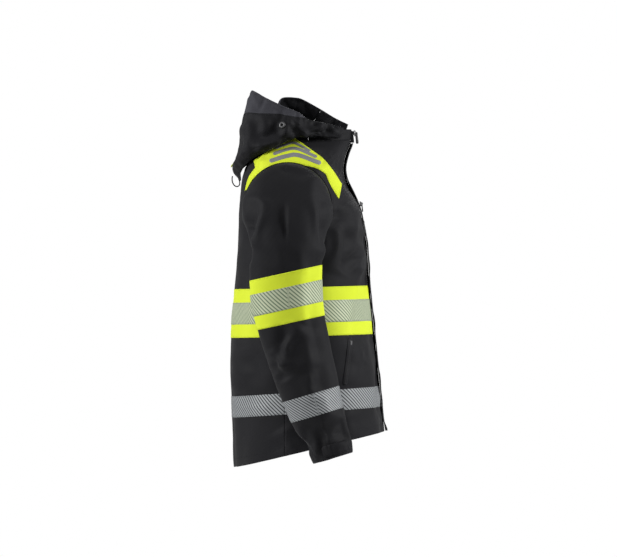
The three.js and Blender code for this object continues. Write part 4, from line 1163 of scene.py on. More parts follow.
YOKE_OUTLINE = np.concatenate([
    curve_through([(108, -122), (99, -90), (83, -67)], 8),
    curve_through([(87, -50), (54, -26), (14, -6)], 8),
    np.array([(-10, 6), (-76, -42)]),
    curve_through([(-84, -50), (-106, -78), (-124, -107)], 8),
    curve_through([(-117, -143), (-103, -120), (-93, -102), (-85, -82)], 12),
    curve_through([(-70, -72), (-53, -66), (-20, -60)], 6),
    np.array([(20, -80)]),
])
SHOULDER_BARS = ([(44, -51), (7, -40), (-20, -38), (-69, -56)],
                 [(37, -34), (10, -25), (-16, -22), (-61, -41)],
                 [(33, -20), (10, -12), (-11, -8), (-46, -27)])
BAR_WIDTHS = (10, 7.5, 6)
CHEST_FOLDS = (
    ([(-140, -150), (-147, -215), (-158, -285)], 0.010, 0.0055),
    ([(-172, -222), (-158, -262), (-122, -318)], 0.009, -0.0050),
    ([(-118, -190), (-112, -250), (-96, -320)], 0.008, 0.0045),
    ([(-150, -300), (-175, -318)], 0.007, 0.0025),
    ([(-105, -170), (-128, -235), (-150, -262)], 0.009, -0.0035),
    ([(92, -160), (104, -250), (104, -330)], 0.012, 0.0040),
    ([(118, -140), (100, -200), (98, -260)], 0.008, -0.0035),
    ([(125, -500), (118, -560), (122, -610)], 0.014, 0.0040),
    ([(60, -490), (40, -550), (30, -600)], 0.014, 0.0035),
    ([(95, -500), (80, -560), (84, -640)], 0.016, -0.0040),
    ([(-150, -480), (-158, -540), (-150, -590)], 0.010, 0.0022),
    ([(-176, -478), (-168, -505), (-172, -540)], 0.006, 0.0022),
    ([(20, -690), (-5, -730), (-10, -760)], 0.012, 0.0030),
    ([(-130, -650), (-140, -690), (-136, -720)], 0.012, 0.0028),
)


# ------------------------------------------------------------------ sleeves

SLEEVE_FOLDS = (
    ([(54, -140), (66, -195), (88, -262)], 0.006, 0.0050),
    ([(64, -150), (80, -200), (98, -235)], 0.009, -0.0040),
    ([(104, -130), (100, -175), (102, -212)], 0.007, 0.0045),
    ([(-48, -85), (-58, -160), (-70, -300)], 0.007, 0.0042),
    ([(-62, -100), (-74, -170), (-80, -260)], 0.009, -0.0038),
    ([(-84, -150), (-92, -210), (-82, -290)], 0.006, 0.0050),
    ([(-20, -250), (-24, -290), (-22, -320)], 0.007, 0.0018),
    ([(28, -240), (20, -290), (26, -318)], 0.009, 0.0016),
    ([(-22, -440), (4, -490), (12, -545)], 0.007, 0.0060),
    ([(-4, -448), (24, -492), (26, -540)], 0.011, -0.0055),
    ([(48, -505), (26, -520), (4, -548)], 0.006, 0.0045),
    ([(40, -540), (20, -552), (6, -575)], 0.007, -0.0035),
    ([(-52, -450), (-48, -500), (-56, -545)], 0.010, 0.0025),
    ([(-36, -560), (-46, -600), (-60, -625)], 0.008, 0.0020),
    ([(-66, -690), (-74, -730), (-80, -765)], 0.006, -0.0028),
    ([(-52, -690), (-60, -725), (-64, -760)], 0.007, 0.0022),
    ([(-94, -690), (-104, -720)], 0.008, 0.0020),
)


@dataclass
class Sleeve:
    """One sleeve from the armhole to the cuff, in one cloth, with its band, tape and cuff tab."""

    maker: Maker
    side: Side
    thickness: float = 0.0022
    trim: float = 0.0009
    columns: int = 108
    head_radius: float = 0.1046
    head_start: float = 0.186
    head_out: float = 0.212
    cap_rows: int = 44
    tube_rows: int = 112
    elbow: tuple = (0.313, -0.024, -0.494)
    lean: float = math.radians(16.5)
    cuff: float = 0.2775
    band_slope: float = math.tan(math.radians(12.5))
    # z, x, y, tilt in degrees, half sizes across and along
    stations: tuple = ((0, 303, 5, 0, 61, 86, -300), (96, 307, -2, 8, 61, 84, -400),
                       (190, 313, -24, 14, 58, 79, -494), (285, 321, -51, 16.5, 54.5, 72, -585),
                       (350, 326, -69.4, 16.5, 50, 64.5, -647.4),
                       (415, 330, -87.9, 16.5, 46, 56, -709.7),
                       (468, 332.3, -103, 16.5, 43, 49.5, -760.2))

    def surface(self) -> Cloth:
        """Smooth surface: a round head, a cap curving down, then a tube to the cuff."""
        phi = np.linspace(0, 2 * math.pi, self.columns + 1)
        cos, sin = np.cos(phi), np.sin(phi)
        circle = np.column_stack([np.full_like(phi, self.head_out),
                                  0.005 + self.head_radius * sin,
                                  -0.161 + self.head_radius * cos])
        first = np.array(self.stations[0][1:], float)
        oval = np.column_stack([(first[0] + first[3] * cos) * MM, (first[1] + first[4] * sin) * MM,
                                np.full_like(phi, first[5] * MM)])
        rows = []
        for x in np.linspace(self.head_start, self.head_out, 6)[:-1]:
            rows.append(np.column_stack([np.full_like(phi, x), circle[:, 1:]]))
        out = 0.62 * (oval[:, 0] - circle[:, 0])
        down = 0.58 * (circle[:, 2] - oval[:, 2])
        p1 = circle + np.column_stack([out, 0 * out, 0 * out])
        p2 = oval + np.column_stack([0 * down, 0 * down, down])
        for t in np.linspace(0, 1, self.cap_rows)[:-1]:
            rows.append((1 - t)**3 * circle + 3 * (1 - t)**2 * t * p1
                        + 3 * (1 - t) * t**2 * p2 + t**3 * oval)
        end = self.stations[-1][0]
        for s in np.linspace(0, end, self.tube_rows):
            x, y, tilt, across, along, z = spline(self.stations, np.array([s]))[0]
            tilt = math.radians(tilt)
            rows.append(np.column_stack([
                (x + across * cos) * MM,
                (y + along * sin * math.cos(tilt)) * MM,
                (z - along * sin * math.sin(tilt)) * MM]))
        points = np.array(rows)
        points[..., 0] *= self.side.value
        if self.side is Side.RIGHT:
            points = points[:, ::-1]
        return Cloth.over(points, wrap=True)

    def folded(self, cloth: Cloth) -> Cloth:
        """Add the folds of a hanging sleeve."""
        x, y, z = (cloth.points[..., i] for i in range(3))
        rows = np.arange(len(z))[:, None] * np.ones_like(z)
        held = np.maximum(smooth(16, 6, rows), smooth(len(z) - 10, len(z) - 1, rows))
        fall = Settle(slack=0.05, frames=16, cap=0.007, step=3).height(cloth, held)
        seed = 11 if self.side is Side.RIGHT else 23
        free = 1 - held
        height = fall + 0.0013 * noise(y * 1.2, z * 0.8 + x, seed) * free
        outward = smooth(-0.2, 0.35, cloth.normals[..., 0] * self.side.value)
        for line, width, size in SLEEVE_FOLDS:
            height = height + 1.7 * outward * crease(y, z, np.array(line) * MM, 1.5 * width) * size
        crook = crease(y, z, [(-0.085, -0.475), (-0.060, -0.505), (-0.03, -0.515)], 0.008)
        height = height - crook * 0.004 * (1 - outward)
        height[:, -1] = height[:, 0]
        return cloth.pushed(height * smooth(4, 14, rows), wrap=True)

    def build(self) -> None:
        """Build the sleeve and what is sewn on it."""
        f, word = self.maker.finishes, self.side.word
        place = across_elbow(self.side)
        cloth = self.folded(self.surface())
        d = (self.elbow[2] - cloth.points[..., 2]) * math.cos(self.lean) + (
            self.elbow[1] - cloth.points[..., 1]) * math.sin(self.lean)
        fy = (cloth.points[..., 1] - self.elbow[1]) * math.cos(self.lean) - (
            cloth.points[..., 2] - self.elbow[2]) * math.sin(self.lean)
        level = cloth.points[..., 2] + (cloth.points[..., 1] + 0.002) * self.band_slope
        cloth.fields = {"d": d, "fy": fy, "level": level}
        whole = weld(Patch.of(cloth), self.columns)
        obj = lined(sewn(f"{word}_sleeve_cloth", whole, self.thickness, -self.thickness), whole)
        self.maker.piece(obj, f.shell, "shell_fabric", place, f"{word}_upper_sleeve",
                         f"{word}_elbow_gusset", f"{word}_forearm", lining=f.lining)
        cut = lambda low, high: whole.cut(lambda p: p["level"] - low).cut(
            lambda p: high - p["level"])
        band, tape = cut(-0.438, -0.316), cut(-0.404, -0.351)
        low = whole.cut(lambda p: p["d"] - 0.116).cut(lambda p: 0.169 - p["d"])
        self.maker.piece(sewn(f"{word}_sleeve_yellow", band, self.trim, 0.0002), f.yellow,
                         "yellow_fabric", place, f"{word}_sleeve_band")
        self.maker.piece(sewn(f"{word}_sleeve_tape", tape, self.trim * 0.6, 0.0012), f.upper_tape,
                         "reflective_tape", place, f"{word}_sleeve_band_tape")
        self.maker.piece(sewn(f"{word}_forearm_tape_cloth", low, self.trim * 0.7, 0.0002),
                         f.lower_tape, "reflective_tape", place, f"{word}_forearm_tape")
        bright = band.thread(lambda p: p["level"] + 0.4355, 0.0013)
        bright += band.thread(lambda p: p["level"] + 0.3185, 0.0013)
        pale = tape.thread(lambda p: p["level"] + 0.4018, 0.0019)
        pale += tape.thread(lambda p: p["level"] + 0.3532, 0.0019)
        pale += low.thread(lambda p: p["d"] - 0.1182, 0.0011)
        pale += low.thread(lambda p: p["d"] - 0.1668, 0.0011)
        dark = whole.thread(lambda p: p["d"] - self.cuff + 0.022, 0.0002)
        self.maker.stitches(f"{word}_sleeve_band_stitches", bright, f.bright_thread,
                            "yellow_fabric", place)
        self.maker.stitches(f"{word}_sleeve_tape_stitches", pale, f.pale_thread,
                            "reflective_tape", place)
        self.maker.stitches(f"{word}_cuff_stitches", dark, f.thread, "shell_fabric", place)
        self.cuff_tab(whole)

    def cuff_tab(self, whole: Patch) -> None:
        """Strap on the outside of the cuff, sewn at its back end."""
        f, word = self.maker.finishes, self.side.word
        place = ride(f"{word}_cuff_tab")
        corners = rounded(-0.044, 0.020, 0.244, 0.2705, 0.006)
        inside = lambda p: inside_outline(p["fy"], p["d"], corners / MM) * MM
        outer = whole.cut(lambda p: self.side.value * p["nx"] - 0.05)
        tab = outer.cut(inside)
        self.maker.piece(sewn(f"{word}_cuff_strap", tab, 0.0020, 0.0008, 0.5), f.shell,
                         "shell_fabric", place, f"{word}_cuff_tab")
        threads = outer.thread(lambda p: inside(p) - 0.0028, 0.0029)
        self.maker.stitches(f"{word}_cuff_strap_stitches", threads, f.thread, "shell_fabric",
                            place)


def weld(patch: Patch, columns: int) -> Patch:
    """Join the first and last columns of a closed cloth."""
    stride = columns + 1
    index = np.arange(len(patch.data))
    index = np.where(index % stride == columns, index - columns, index)
    patch.quads = index[patch.quads]
    return patch


# ------------------------------------------------------------------ hood


@dataclass
class Hood:
    """Hood lying open on the shoulders, its brim, the gores to the collar and its fittings."""

    maker: Maker
    thickness: float = 0.0022
    columns: int = 190
    rows: int = 62
    # around, edge x y z, rim x y z, swell
    ribs: tuple = (
        (0, -70, -128, 30, -80, -120, 3, 4), (1, -84, -86, 41, -92, -78, 6, 10),
        (2, -97, -45, 50, -108, -40, 6, 12), (3, -104, -22, 66, -118, -11, 3, 12),
        (4, -105, 14, 81, -127, 31, -14, 12), (5, -94, 56, 101, -120, 84, -38, 10),
        (6, -60, 92, 120, -76, 124, -68, 6), (7, 0, 84, 96, 0, 139, -84, 5),
        (8, 60, 34, 84, 76, 124, -68, 8), (9, 82, 20, 104, 118, 80, -37, 12),
        (10, 94, -14, 105, 127, 31, -14, 12), (11, 97, -34, 99, 118, -11, 3, 12),
        (12, 95, -72, 78, 108, -40, 6, 10), (13, 86, -108, 56, 92, -78, 6, 8),
        (14, 74, -140, 40, 80, -120, 3, 4))
    # depth and height of the seam between hood and brim, front to back
    brim_seam: tuple = ((-0.075, -0.058, -0.010, 0.026, 0.070, 0.099),
                        (0.075, 0.050, 0.056, 0.062, 0.064, 0.066))
    folds: tuple = (
        ([(78, -34), (40, -10), (-4, 24)], 0.009, 0.0060),
        ([(96, -10), (56, 6), (20, 30)], 0.010, -0.0055),
        ([(28, -8), (0, 14), (-18, 40)], 0.007, -0.0050),
        ([(-24, 12), (-56, 26), (-88, 36)], 0.006, 0.0055),
        ([(-34, 8), (-70, 14), (-100, 26)], 0.006, -0.0050),
        ([(-80, 8), (-98, 18), (-108, 30)], 0.007, 0.0045),
        ([(118, -30), (90, -36), (60, -28)], 0.008, 0.0035),
        ([(108, 40), (92, 10), (84, -20)], 0.010, 0.0030),
        ([(24, 46), (10, 34), (-6, 44)], 0.006, 0.0040))

    def point(self, around: Array, up: Array) -> Array:
        """Points of the hood: around from the right cheek to the left, up from rim to edge."""
        ex, ey, ez, rx, ry, rz, swell = (spline(self.ribs, around * 14) * MM).T
        edge, rim = np.column_stack([ex, ey, ez]), np.column_stack([rx, ry, rz])
        out = rim - np.array([0.0, 0.0, 0.0])
        out[:, 2] = 0
        out /= np.linalg.norm(out, axis=1, keepdims=True)
        v = up[:, None]
        body = rim + (edge - rim) * v
        body += out * swell[:, None] * np.sin(math.pi * np.clip(v, 0, 1)) ** 0.8
        tuck = smooth(0.07, 0.0, v)
        behind = smooth(0.07, 0.02, np.abs(rim[:, :1])) * (rim[:, 1:2] > 0) * smooth(0.12, 0.0, v)
        return body - out * (0.010 * tuck + 0.008 * behind) - np.array([0, 0, 0.014]) * behind

    def build(self) -> None:
        """Build the hood."""
        f = self.maker.finishes
        place = ride("hood")
        around = np.linspace(0, 1, self.columns)
        up = np.linspace(1, 0, self.rows)
        grid = np.array([self.point(around, np.full(self.columns, value)) for value in up])
        grid = grid[:, ::-1]
        cloth = Cloth.over(grid)
        a = np.broadcast_to(around[::-1], grid.shape[:2])
        v = np.broadcast_to(up[:, None], grid.shape[:2])
        y, z = grid[..., 1], grid[..., 2]
        held = np.maximum(smooth(0.12, 0.02, v), smooth(0.90, 0.99, v))
        held = np.maximum(held, np.maximum(smooth(0.05, 0.0, a), smooth(0.95, 1.0, a)))
        fall = Settle(slack=0.07, frames=18, cap=0.009, step=2).height(cloth, held)
        height = fall + 0.0016 * noise(y * 1.3 + grid[..., 0], z * 1.3, 31, base=12) * (1 - held)
        for line, width, size in self.folds:
            height = height + (1.6 * crease(y, z, np.array(line) * MM, 1.3 * width) * size
                               * (1 - held * 0.8))
        cloth = cloth.pushed(height)
        cloth.fields = {"a": a, "up": v}
        seam = lambda p: p["z"] - np.interp(p["y"], *self.brim_seam)
        whole = Patch.of(cloth)
        shell = whole.cut(lambda p: -seam(p) - 0.0002)
        brim = whole.cut(lambda p: seam(p) - 0.0002)
        obj = lined(sewn("hood_shell_cloth", shell, self.thickness, -self.thickness, 0.2), shell)
        self.maker.piece(obj, f.shell, "shell_fabric", place, "hood_shell", lining=f.shell)
        obj = lined(sewn("hood_brim_cloth", brim, self.thickness, -self.thickness, 0.2), brim)
        self.maker.piece(obj, f.brim, "brim_fabric", place, "hood_brim", lining=f.shell)
        threads = whole.thread(lambda p: seam(p) + 0.004, 0.0002)
        threads += whole.thread(lambda p: 0.965 - p["up"], 0.0002)
        self.maker.stitches("hood_stitches", threads, f.thread, "shell_fabric", place)
        self.gores()
        self.fittings(cloth)

    def gores(self, count: int = 11) -> None:
        """Gores that join the collar to the hood's rim."""
        f = self.maker.finishes
        limits = np.linspace(0.05, 0.95, count + 1)
        for k in range(count):
            around = np.linspace(limits[k] - 0.002, limits[k + 1] + 0.002, 14)
            outer = self.point(around, np.full(14, 0.035)) - np.array([0, 0, 0.0005 * (k % 2)])
            angle = np.arctan2(outer[:, 1] + 0.044, outer[:, 0])
            inner = collar_edge(angle, 0.0025)
            share = np.linspace(0, 1, 14)[:, None, None]
            arch = np.sin(math.pi * share) * np.array([0, 0, 0.004])
            grid = inner[None] + (outer - inner)[None] * share + arch
            grid = grid + np.array([0, 0, 0.0012]) * np.sin(np.linspace(0, 9, 14))[None, :, None] * (
                np.sin(math.pi * share))
            patch = Patch.of(Cloth.over(grid))
            flip = patch["nz"].mean() < 0
            if flip:
                patch = Patch.of(Cloth.over(grid[:, ::-1]))
            obj = sewn(f"hood_gore_{k + 1}", patch, 0.0014, -0.0014)
            start, end = inner[7], outer[7]
            place = lambda o, s=start, e=end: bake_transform(o, "torso", "hood", tuple(s), tuple(e))
            nodes = ("hood_nape_panel",) if k == count // 2 else ()
            self.maker.piece(obj, f.shell, "shell_fabric", place, *nodes)

    def fittings(self, cloth: Cloth) -> None:
        """Eyelets, the back tab and the elastic at the back."""
        f = self.maker.finishes
        flat = cloth.points.reshape(-1, 3)
        normals = cloth.normals.reshape(-1, 3)
        for side, spot in ((Side.RIGHT, (-0.124, 0.017, 0.034)), (Side.LEFT, (0.118, 0.02, 0.05))):
            nearest = int(np.argmin(np.linalg.norm(flat - np.array(spot), axis=1)))
            seat, out = flat[nearest], normals[nearest]
            turn = np.array(Vector((0, 0, 1)).rotation_difference(Vector(out)).to_matrix())
            profile = [(0.0052, -0.0004), (0.0078, 0.0), (0.0084, 0.0012), (0.0074, 0.0026),
                       (0.0052, 0.0030), (0.0030, 0.0022), (0.0026, 0.0008), (0.0034, -0.0004)]
            angle = np.linspace(0, 2 * math.pi, 32, endpoint=False)
            points = np.array([(r * math.cos(t), r * math.sin(t), h)
                               for t in angle for r, h in profile]) @ turn.T + seat
            count = len(profile)
            faces = [[i * count + j, ((i + 1) % 32) * count + j,
                      ((i + 1) % 32) * count + (j + 1) % count, i * count + (j + 1) % count]
                     for i in range(32) for j in range(count)]
            obj = make_mesh(f"{side.word}_hood_eyelet", points, faces)
            self.maker.piece(obj, f.plastic, "black_plastic", ride("hood"),
                             f"{side.word}_hood_adjuster")
        low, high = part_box("hood_tab")
        middle = (np.array(low) + np.array(high)) / 2
        nearest = int(np.argmin(np.linalg.norm(flat - middle, axis=1)))
        seat, out = flat[nearest], normals[nearest]
        outline = rounded(-0.007, 0.007, -0.006, 0.006, 0.0015)
        points, faces = plate(outline, -0.0022, -0.0004, 0.0004)
        turn = np.array(Vector((0, -1, 0)).rotation_difference(Vector(out)).to_matrix())
        obj = make_mesh("hood_back_tab", points @ turn.T + seat + out * 0.0002, faces,
                        points[:, [0, 2]])
        self.maker.piece(obj, f.yellow, "yellow_fabric", ride("hood"), "hood_tab")
        route = curve_through(REAR_CORD, 44) * MM
        points, faces = tube(route, CORD_RADIUS, 12)
        obj = make_mesh("hood_elastic_loop", points, faces)
        self.maker.piece(obj, f.elastic, "elastic", ride("hood"), "hood_rear_cord")
        tuple(route[0])
        [tuple(p) for p in route]


REAR_CORD = (
    (0, 138.8, -86), (0, 139.6, -92), (0, 139, -99), (0, 136.6, -105), (0, 132.6, -109.4),
    (0, 128, -111), (0, 123.8, -109.4), (0, 121.4, -105), (0, 121.6, -99), (0, 123.4, -93),
    (0, 125.2, -88), (0, 126.6, -84))
CORD_RADIUS = 0.0014


def collar_edge(angle: Array, gap: float) -> Array:
    """Points just outside the collar, halfway up it, in directions from its middle."""
    half, front, back, power = 0.075 + gap, -0.146, 0.0645 + gap, 2.35
    cos, sin = np.cos(angle), np.sin(angle)
    middle = (front + back) / 2
    depth = (back - front) / 2
    size = (np.abs(cos / half) ** power + np.abs(sin / depth) ** power) ** (-1 / power)
    return np.column_stack([cos * size, middle + sin * size, np.full_like(angle, 0.016)])


# ------------------------------------------------------------------ zip, flap and sliders


@dataclass
class Closure:
    """Main zip, storm flap, chest zips and all the sliders."""

    maker: Maker
    torso: Torso
    top: tuple = (-0.149, 0.024)
    lean: float = math.radians(5.74)
    length: float = 0.714
    flap_left: float = 0.022
    flap_right: float = -0.024
    flap_top: float = -0.006
    flap_bottom: float = -0.7035
    flap_stand: float = 0.0052

    def place_point(self, points: Array) -> Array:
        """Points from the placket's own frame to the coat's."""
        x, y, z = points.T
        cos, sin = math.cos(self.lean), math.sin(self.lean)
        return np.column_stack([x, self.top[0] + y * cos + z * sin,
                                self.top[1] - y * sin + z * cos])

    def build(self) -> None:
        """Build the closure."""
        self.halves()
        self.flap()
        self.main_slider()
        for side in Side:
            self.chest(side)
            self.pocket_slider(side)

    def strip(self, left: float, right: float, top: float, bottom: float, depth: float,
              columns: int) -> Cloth:
        """Cloth strip along the centre front, some depth in front of it."""
        z = np.arange(top, bottom, -0.0045)
        x = np.linspace(left, right, columns)
        y = self.torso.front_y(z) - depth
        grid = np.stack([np.broadcast_to(x, (len(z), columns)),
                         np.broadcast_to(y[:, None], (len(z), columns)),
                         np.broadcast_to(z[:, None], (len(z), columns))], axis=2)
        return Cloth.over(grid)

    def halves(self) -> None:
        """Both halves of the main zip: woven tape and a row of teeth."""
        f = self.maker.finishes
        for side in Side:
            word, sign = side.word, side.value
            place = ride(f"{word}_front")
            edges = sorted((sign * 0.0012, sign * 0.0165))
            cloth = self.strip(edges[0], edges[1], 0.022, -0.690, -0.0008, 6)
            obj = sewn(f"{word}_zip_tape", Patch.of(cloth), 0.0007, -0.0012)
            self.maker.piece(obj, f.elastic, "black_plastic", place, f"{word}_zip_half")
            self.top_welt(side)
            z = np.arange(0.020, -0.690, -0.01)
            path = np.column_stack([np.full_like(z, sign * 0.0019),
                                    self.torso.front_y(z) + 0.0002, z])
            self.maker.stitches(f"{word}_zip_teeth", [path], f.plastic, "black_plastic", place,
                                pitch=0.0026, length=0.0017, width=0.0036, height=0.0026)

    def top_welt(self, side: Side) -> None:
        """Padded welt that carries the zip's top end forward of the concave neck."""
        z = np.linspace(0.0225, -0.0052, 12)
        face = self.top[0] - (self.top[1] - z) * math.tan(self.lean) - 0.0038
        section = np.array([(0.0072, 0.0), (0.0075, 1.0), (0.0090, 1.12), (0.0145, 1.12),
                            (0.0162, 1.0), (0.0165, 0.0)])
        rows = []
        for height, front in zip(z, face):
            cloth = self.torso.front_y(height)[0] + 0.0006
            depth = cloth + (front + 0.0012 - cloth) * section[:, 1] / 1.12
            rows.append(np.column_stack([side.value * section[:, 0], depth,
                                         np.full(len(section), height)]))
        points = np.concatenate(rows)
        count, turns = len(section), len(rows)
        faces = [[i * count + j, (i + 1) * count + j, (i + 1) * count + (j + 1) % count,
                  i * count + (j + 1) % count] for i in range(turns - 1) for j in range(count)]
        faces += [list(range(count)), [(turns - 1) * count + j for j in reversed(range(count))]]
        if side is Side.RIGHT:
            faces = [face[::-1] for face in faces]
        obj = make_mesh(f"{side.word}_zip_top_welt", points, faces, points[:, [0, 2]], False)
        self.maker.piece(obj, self.maker.finishes.shell, "shell_fabric",
                         ride(f"{side.word}_front"))

    def flap(self) -> None:
        """Storm flap over the zip, and the folded edge that it is sewn on."""
        f = self.maker.finishes
        cloth = self.strip(self.flap_right, self.flap_left, self.flap_top, self.flap_bottom,
                           self.flap_stand, 22)
        x, z = cloth.points[..., 0], cloth.points[..., 2]
        free = smooth(self.flap_left - 0.006, self.flap_right, x)
        wave = 0.0012 * np.sin(z * 41 + 0.6) + 0.0008 * np.sin(z * 97)
        kick = 0.006 * smooth(-0.665, -0.7035, z)
        cloth = cloth.pushed(free * wave + kick * (0.4 + 0.6 * free))
        patch = Patch.of(cloth)
        obj = sewn("storm_flap_cloth", patch, 0.0024, 0.0, 0.35)
        self.maker.piece(obj, f.shell, "shell_fabric", ride("storm_flap"), "storm_flap")
        threads = patch.thread(lambda p: p["x"] - self.flap_right - 0.006, 0.0025)
        threads += patch.thread(lambda p: self.flap_left - 0.004 - p["x"], 0.0025)
        self.maker.stitches("storm_flap_stitches", threads, f.thread, "shell_fabric",
                            ride("storm_flap"))
        fold = self.strip(self.flap_left - 0.0022, self.flap_left, self.flap_top,
                          self.flap_bottom + 0.010, 0.0002, 3)
        self.maker.piece(sewn("flap_fold", Patch.of(fold), self.flap_stand - 0.0006, 0.0, 0.0),
                         f.shell, "shell_fabric", ride("left_front"))

    def main_slider(self) -> None:
        """Zip slider with its bail, and the puller on it."""
        f = self.maker.finishes
        body = rounded(-0.0054, 0.0054, -0.015, 0.0, 0.003)
        front = plate(body, -0.0062, -0.0042, 0.0005)
        back = plate(body * np.array([0.9, 1]), 0.0004, 0.0014, 0.0003)
        web = plate(rounded(-0.0006, 0.0006, -0.0110, -0.0020, 0.0005), -0.0044, 0.0006, 0.0001)
        arch = np.array([(0, -0.0058, -0.0125), (0, -0.0074, -0.0120), (0, -0.0084, -0.0085),
                         (0, -0.0084, -0.0045), (0, -0.0074, -0.0015), (0, -0.0058, -0.0010)])
        bail = tube(curve_through(arch, 20), 0.0008, 8)
        points, faces = joined([front, back, web, bail])
        obj = make_mesh("main_slider_body", self.place_point(points), faces)
        self.maker.piece(obj, f.black_metal, "dark_metal", ride("zip_slider"), "zip_slider")
        pin = -0.0055
        outline = np.array([(-0.0030, 0.0006), (-0.0042, -0.004), (-0.0040, -0.012),
                            (-0.0052, -0.018), (-0.0050, -0.0255), (-0.0035, -0.0275),
                            (0.0035, -0.0275), (0.0050, -0.0255), (0.0052, -0.018),
                            (0.0040, -0.012), (0.0042, -0.004), (0.0030, 0.0006)])
        tab = plate(outline + np.array([0, pin]), -0.0130, -0.0066, 0.0016)
        ridges = [plate(rounded(-0.0034, 0.0034, z - 0.0006, z + 0.0006, 0.0005)
                        + np.array([0, pin]),
                        -0.0135, -0.0126, 0.0002) for z in (-0.0165, -0.0195, -0.0225)]
        points, faces = joined([tab, *ridges])
        obj = make_mesh("main_puller", self.place_point(points), faces)
        self.maker.piece(obj, f.plastic, "black_plastic", ride("zip_puller"), "zip_puller")

    def chest(self, side: Side) -> None:
        """Short chest zip with its slider."""
        f, word, sign = self.maker.finishes, side.word, side.value
        low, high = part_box(f"{word}_chest_zip")
        middle = (low[0] + high[0]) / 2
        strip = Patch.of(self.torso.cloth).cut(lambda p: 0.0045 - np.abs(p["x"] - middle))
        strip = strip.cut(lambda p: p["z"] - low[2]).cut(lambda p: high[2] - p["z"])
        strip = strip.cut(lambda p: -0.05 - p["y"])
        place = across_turn()
        self.maker.piece(sewn(f"{word}_chest_welt", strip, 0.0011, 0.0002), f.elastic,
                         "black_plastic", place, f"{word}_chest_zip")
        teeth = strip.thread(lambda p: p["x"] - middle, 0.0016)
        self.maker.stitches(f"{word}_chest_teeth", teeth, f.plastic, "black_plastic", place,
                            pitch=0.0022, length=0.0014, width=0.0036, height=0.0014)
        high = np.array(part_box(f"{word}_chest_slider")[1])
        self.slider_at(f"{word}_chest_slider_body", f"{word}_chest_slider", high,
                       sign * 0.046, 0.0009)

    def slider_at(self, name: str, node: str, high: Array, x: float, seat: float) -> None:
        """Small slider and puller in a chest slider's place."""
        f = self.maker.finishes
        cos = math.cos(self.lean)
        top = (high[2] - self.top[1]) / cos - 0.0004
        base = seat - 0.0019
        run = plate(rounded(x - 0.0034, x + 0.0034, top - 0.012, top, 0.002), base - 0.0030,
                    base, 0.0005)
        pull = plate(rounded(x - 0.0023, x + 0.0023, top - 0.0255, top - 0.003, 0.0015),
                     base - 0.0064, base - 0.0034, 0.0008)
        arch = np.array([(x, base - 0.0028, top - 0.0095), (x, base - 0.0062, top - 0.008),
                         (x, base - 0.0066, top - 0.0045), (x, base - 0.0028, top - 0.002)])
        points, faces = joined([run, pull, tube(curve_through(arch, 14), 0.0007, 8)])
        obj = make_mesh(name, self.place_point(points), faces)
        self.maker.piece(obj, f.black_metal, "dark_metal", ride(node), node)

    def pocket_slider(self, side: Side) -> None:
        """Dress a hand pocket's slider, whose own shape is right."""
        node = f"{side.word}_pocket_slider"
        dress_node(node, self.maker.finishes.black_metal)


def dress_node(name: str, finish: bpy.types.Material) -> None:
    """Give a carried-over CAD node a finish."""
    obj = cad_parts[name]
    if obj.data.materials:
        for i in range(len(obj.data.materials)):
            obj.data.materials[i] = finish
    else:
        obj.data.materials.append(finish)
    LOG.info("%s: frame's own shape", name)


# ------------------------------------------------------------------ studio


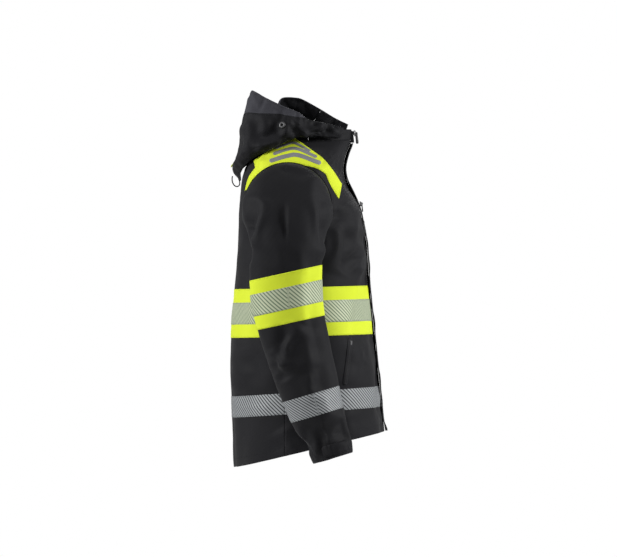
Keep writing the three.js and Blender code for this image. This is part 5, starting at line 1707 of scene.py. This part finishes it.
@dataclass
class Studio:
    """Pale floor, soft light and the camera at the wearer's right side."""

    distance: float = 30.0
    view_width: float = 1.481
    aim: tuple = (0.0, -0.0444, -0.3324)
    floor_z: float = -1.55  # the ground under a standing wearer
    floor_half: float = 2.2
    sky: float = 0.38  # strength of the white surroundings as a light

    def build(self) -> None:
        """Build the studio."""
        camera = bpy.data.objects.new("camera", bpy.data.cameras.new("camera"))
        bpy.context.scene.collection.objects.link(camera)
        camera.location = (self.aim[0] - self.distance, self.aim[1], self.aim[2])
        camera.rotation_euler = (math.radians(90), 0, math.radians(-90))
        camera.data.sensor_width = 36
        camera.data.lens = 36 * (self.distance - 0.1) / self.view_width
        camera.data.clip_end = 400
        bpy.context.scene.camera = camera
        world = bpy.data.worlds.new("studio")
        bpy.context.scene.world = world
        world.use_nodes = True
        back = world.node_tree.nodes["Background"]
        back.inputs["Color"].default_value = (1.0, 1.0, 1.0, 1.0)
        seen = world.node_tree.nodes.new("ShaderNodeLightPath").outputs["Is Camera Ray"]
        level = world.node_tree.nodes.new("ShaderNodeMapRange")
        level.inputs["To Min"].default_value = self.sky
        world.node_tree.links.new(seen, level.inputs["Value"])
        world.node_tree.links.new(level.outputs[0], back.inputs["Strength"])
        bpy.context.scene.view_settings.view_transform = "Standard"
        reach, z = self.floor_half, self.floor_z
        floor = make_mesh("floor", np.array([(-reach, -reach, z), (reach, -reach, z),
                                             (reach, reach, z), (-reach, reach, z)]),
                          [[0, 1, 2, 3]])
        g = Graph("pale_floor")
        g.shader.inputs["Base Color"].default_value = (0.86, 0.86, 0.86, 1.0)
        g.shader.inputs["Roughness"].default_value = 1.0
        g.shader.inputs["Specular IOR Level"].default_value = 0.0
        floor.data.materials.append(g.material)
        self.light("front", (-0.7, -3.4, 1.0), 1.3, 215)
        self.light("behind", (-0.7, 3.4, 1.2), 1.3, 200)
        self.light("side", (-3.4, 0.6, 1.8), 1.6, 45)
        self.light("far side", (3.4, -0.6, 1.8), 1.6, 45)

    def light(self, name: str, place: tuple, size: float, power: float) -> None:
        """Soft light aimed at the coat."""
        lamp = bpy.data.lights.new(name, "AREA")
        lamp.size = size
        lamp.energy = power
        obj = bpy.data.objects.new(name, lamp)
        bpy.context.scene.collection.objects.link(obj)
        obj.location = place
        towards = Vector((0, 0, -0.35)) - Vector(place)
        obj.rotation_euler = towards.to_track_quat("-Z", "Y").to_euler()


def main() -> None:
    """Build the coat and its studio, in order."""
    logging.basicConfig(level=logging.INFO, format="%(name)s %(message)s")
    Studio().build()
    maker = Maker(Finishes(), Stitcher())
    Hood(maker).build()
    torso = Torso(maker)
    torso.build()
    for side in Side:
        Sleeve(maker, side).build()
    Closure(maker, torso).build()
    dress_node("hang_loop", maker.finishes.elastic)


if __name__ == "__main__":
    main()
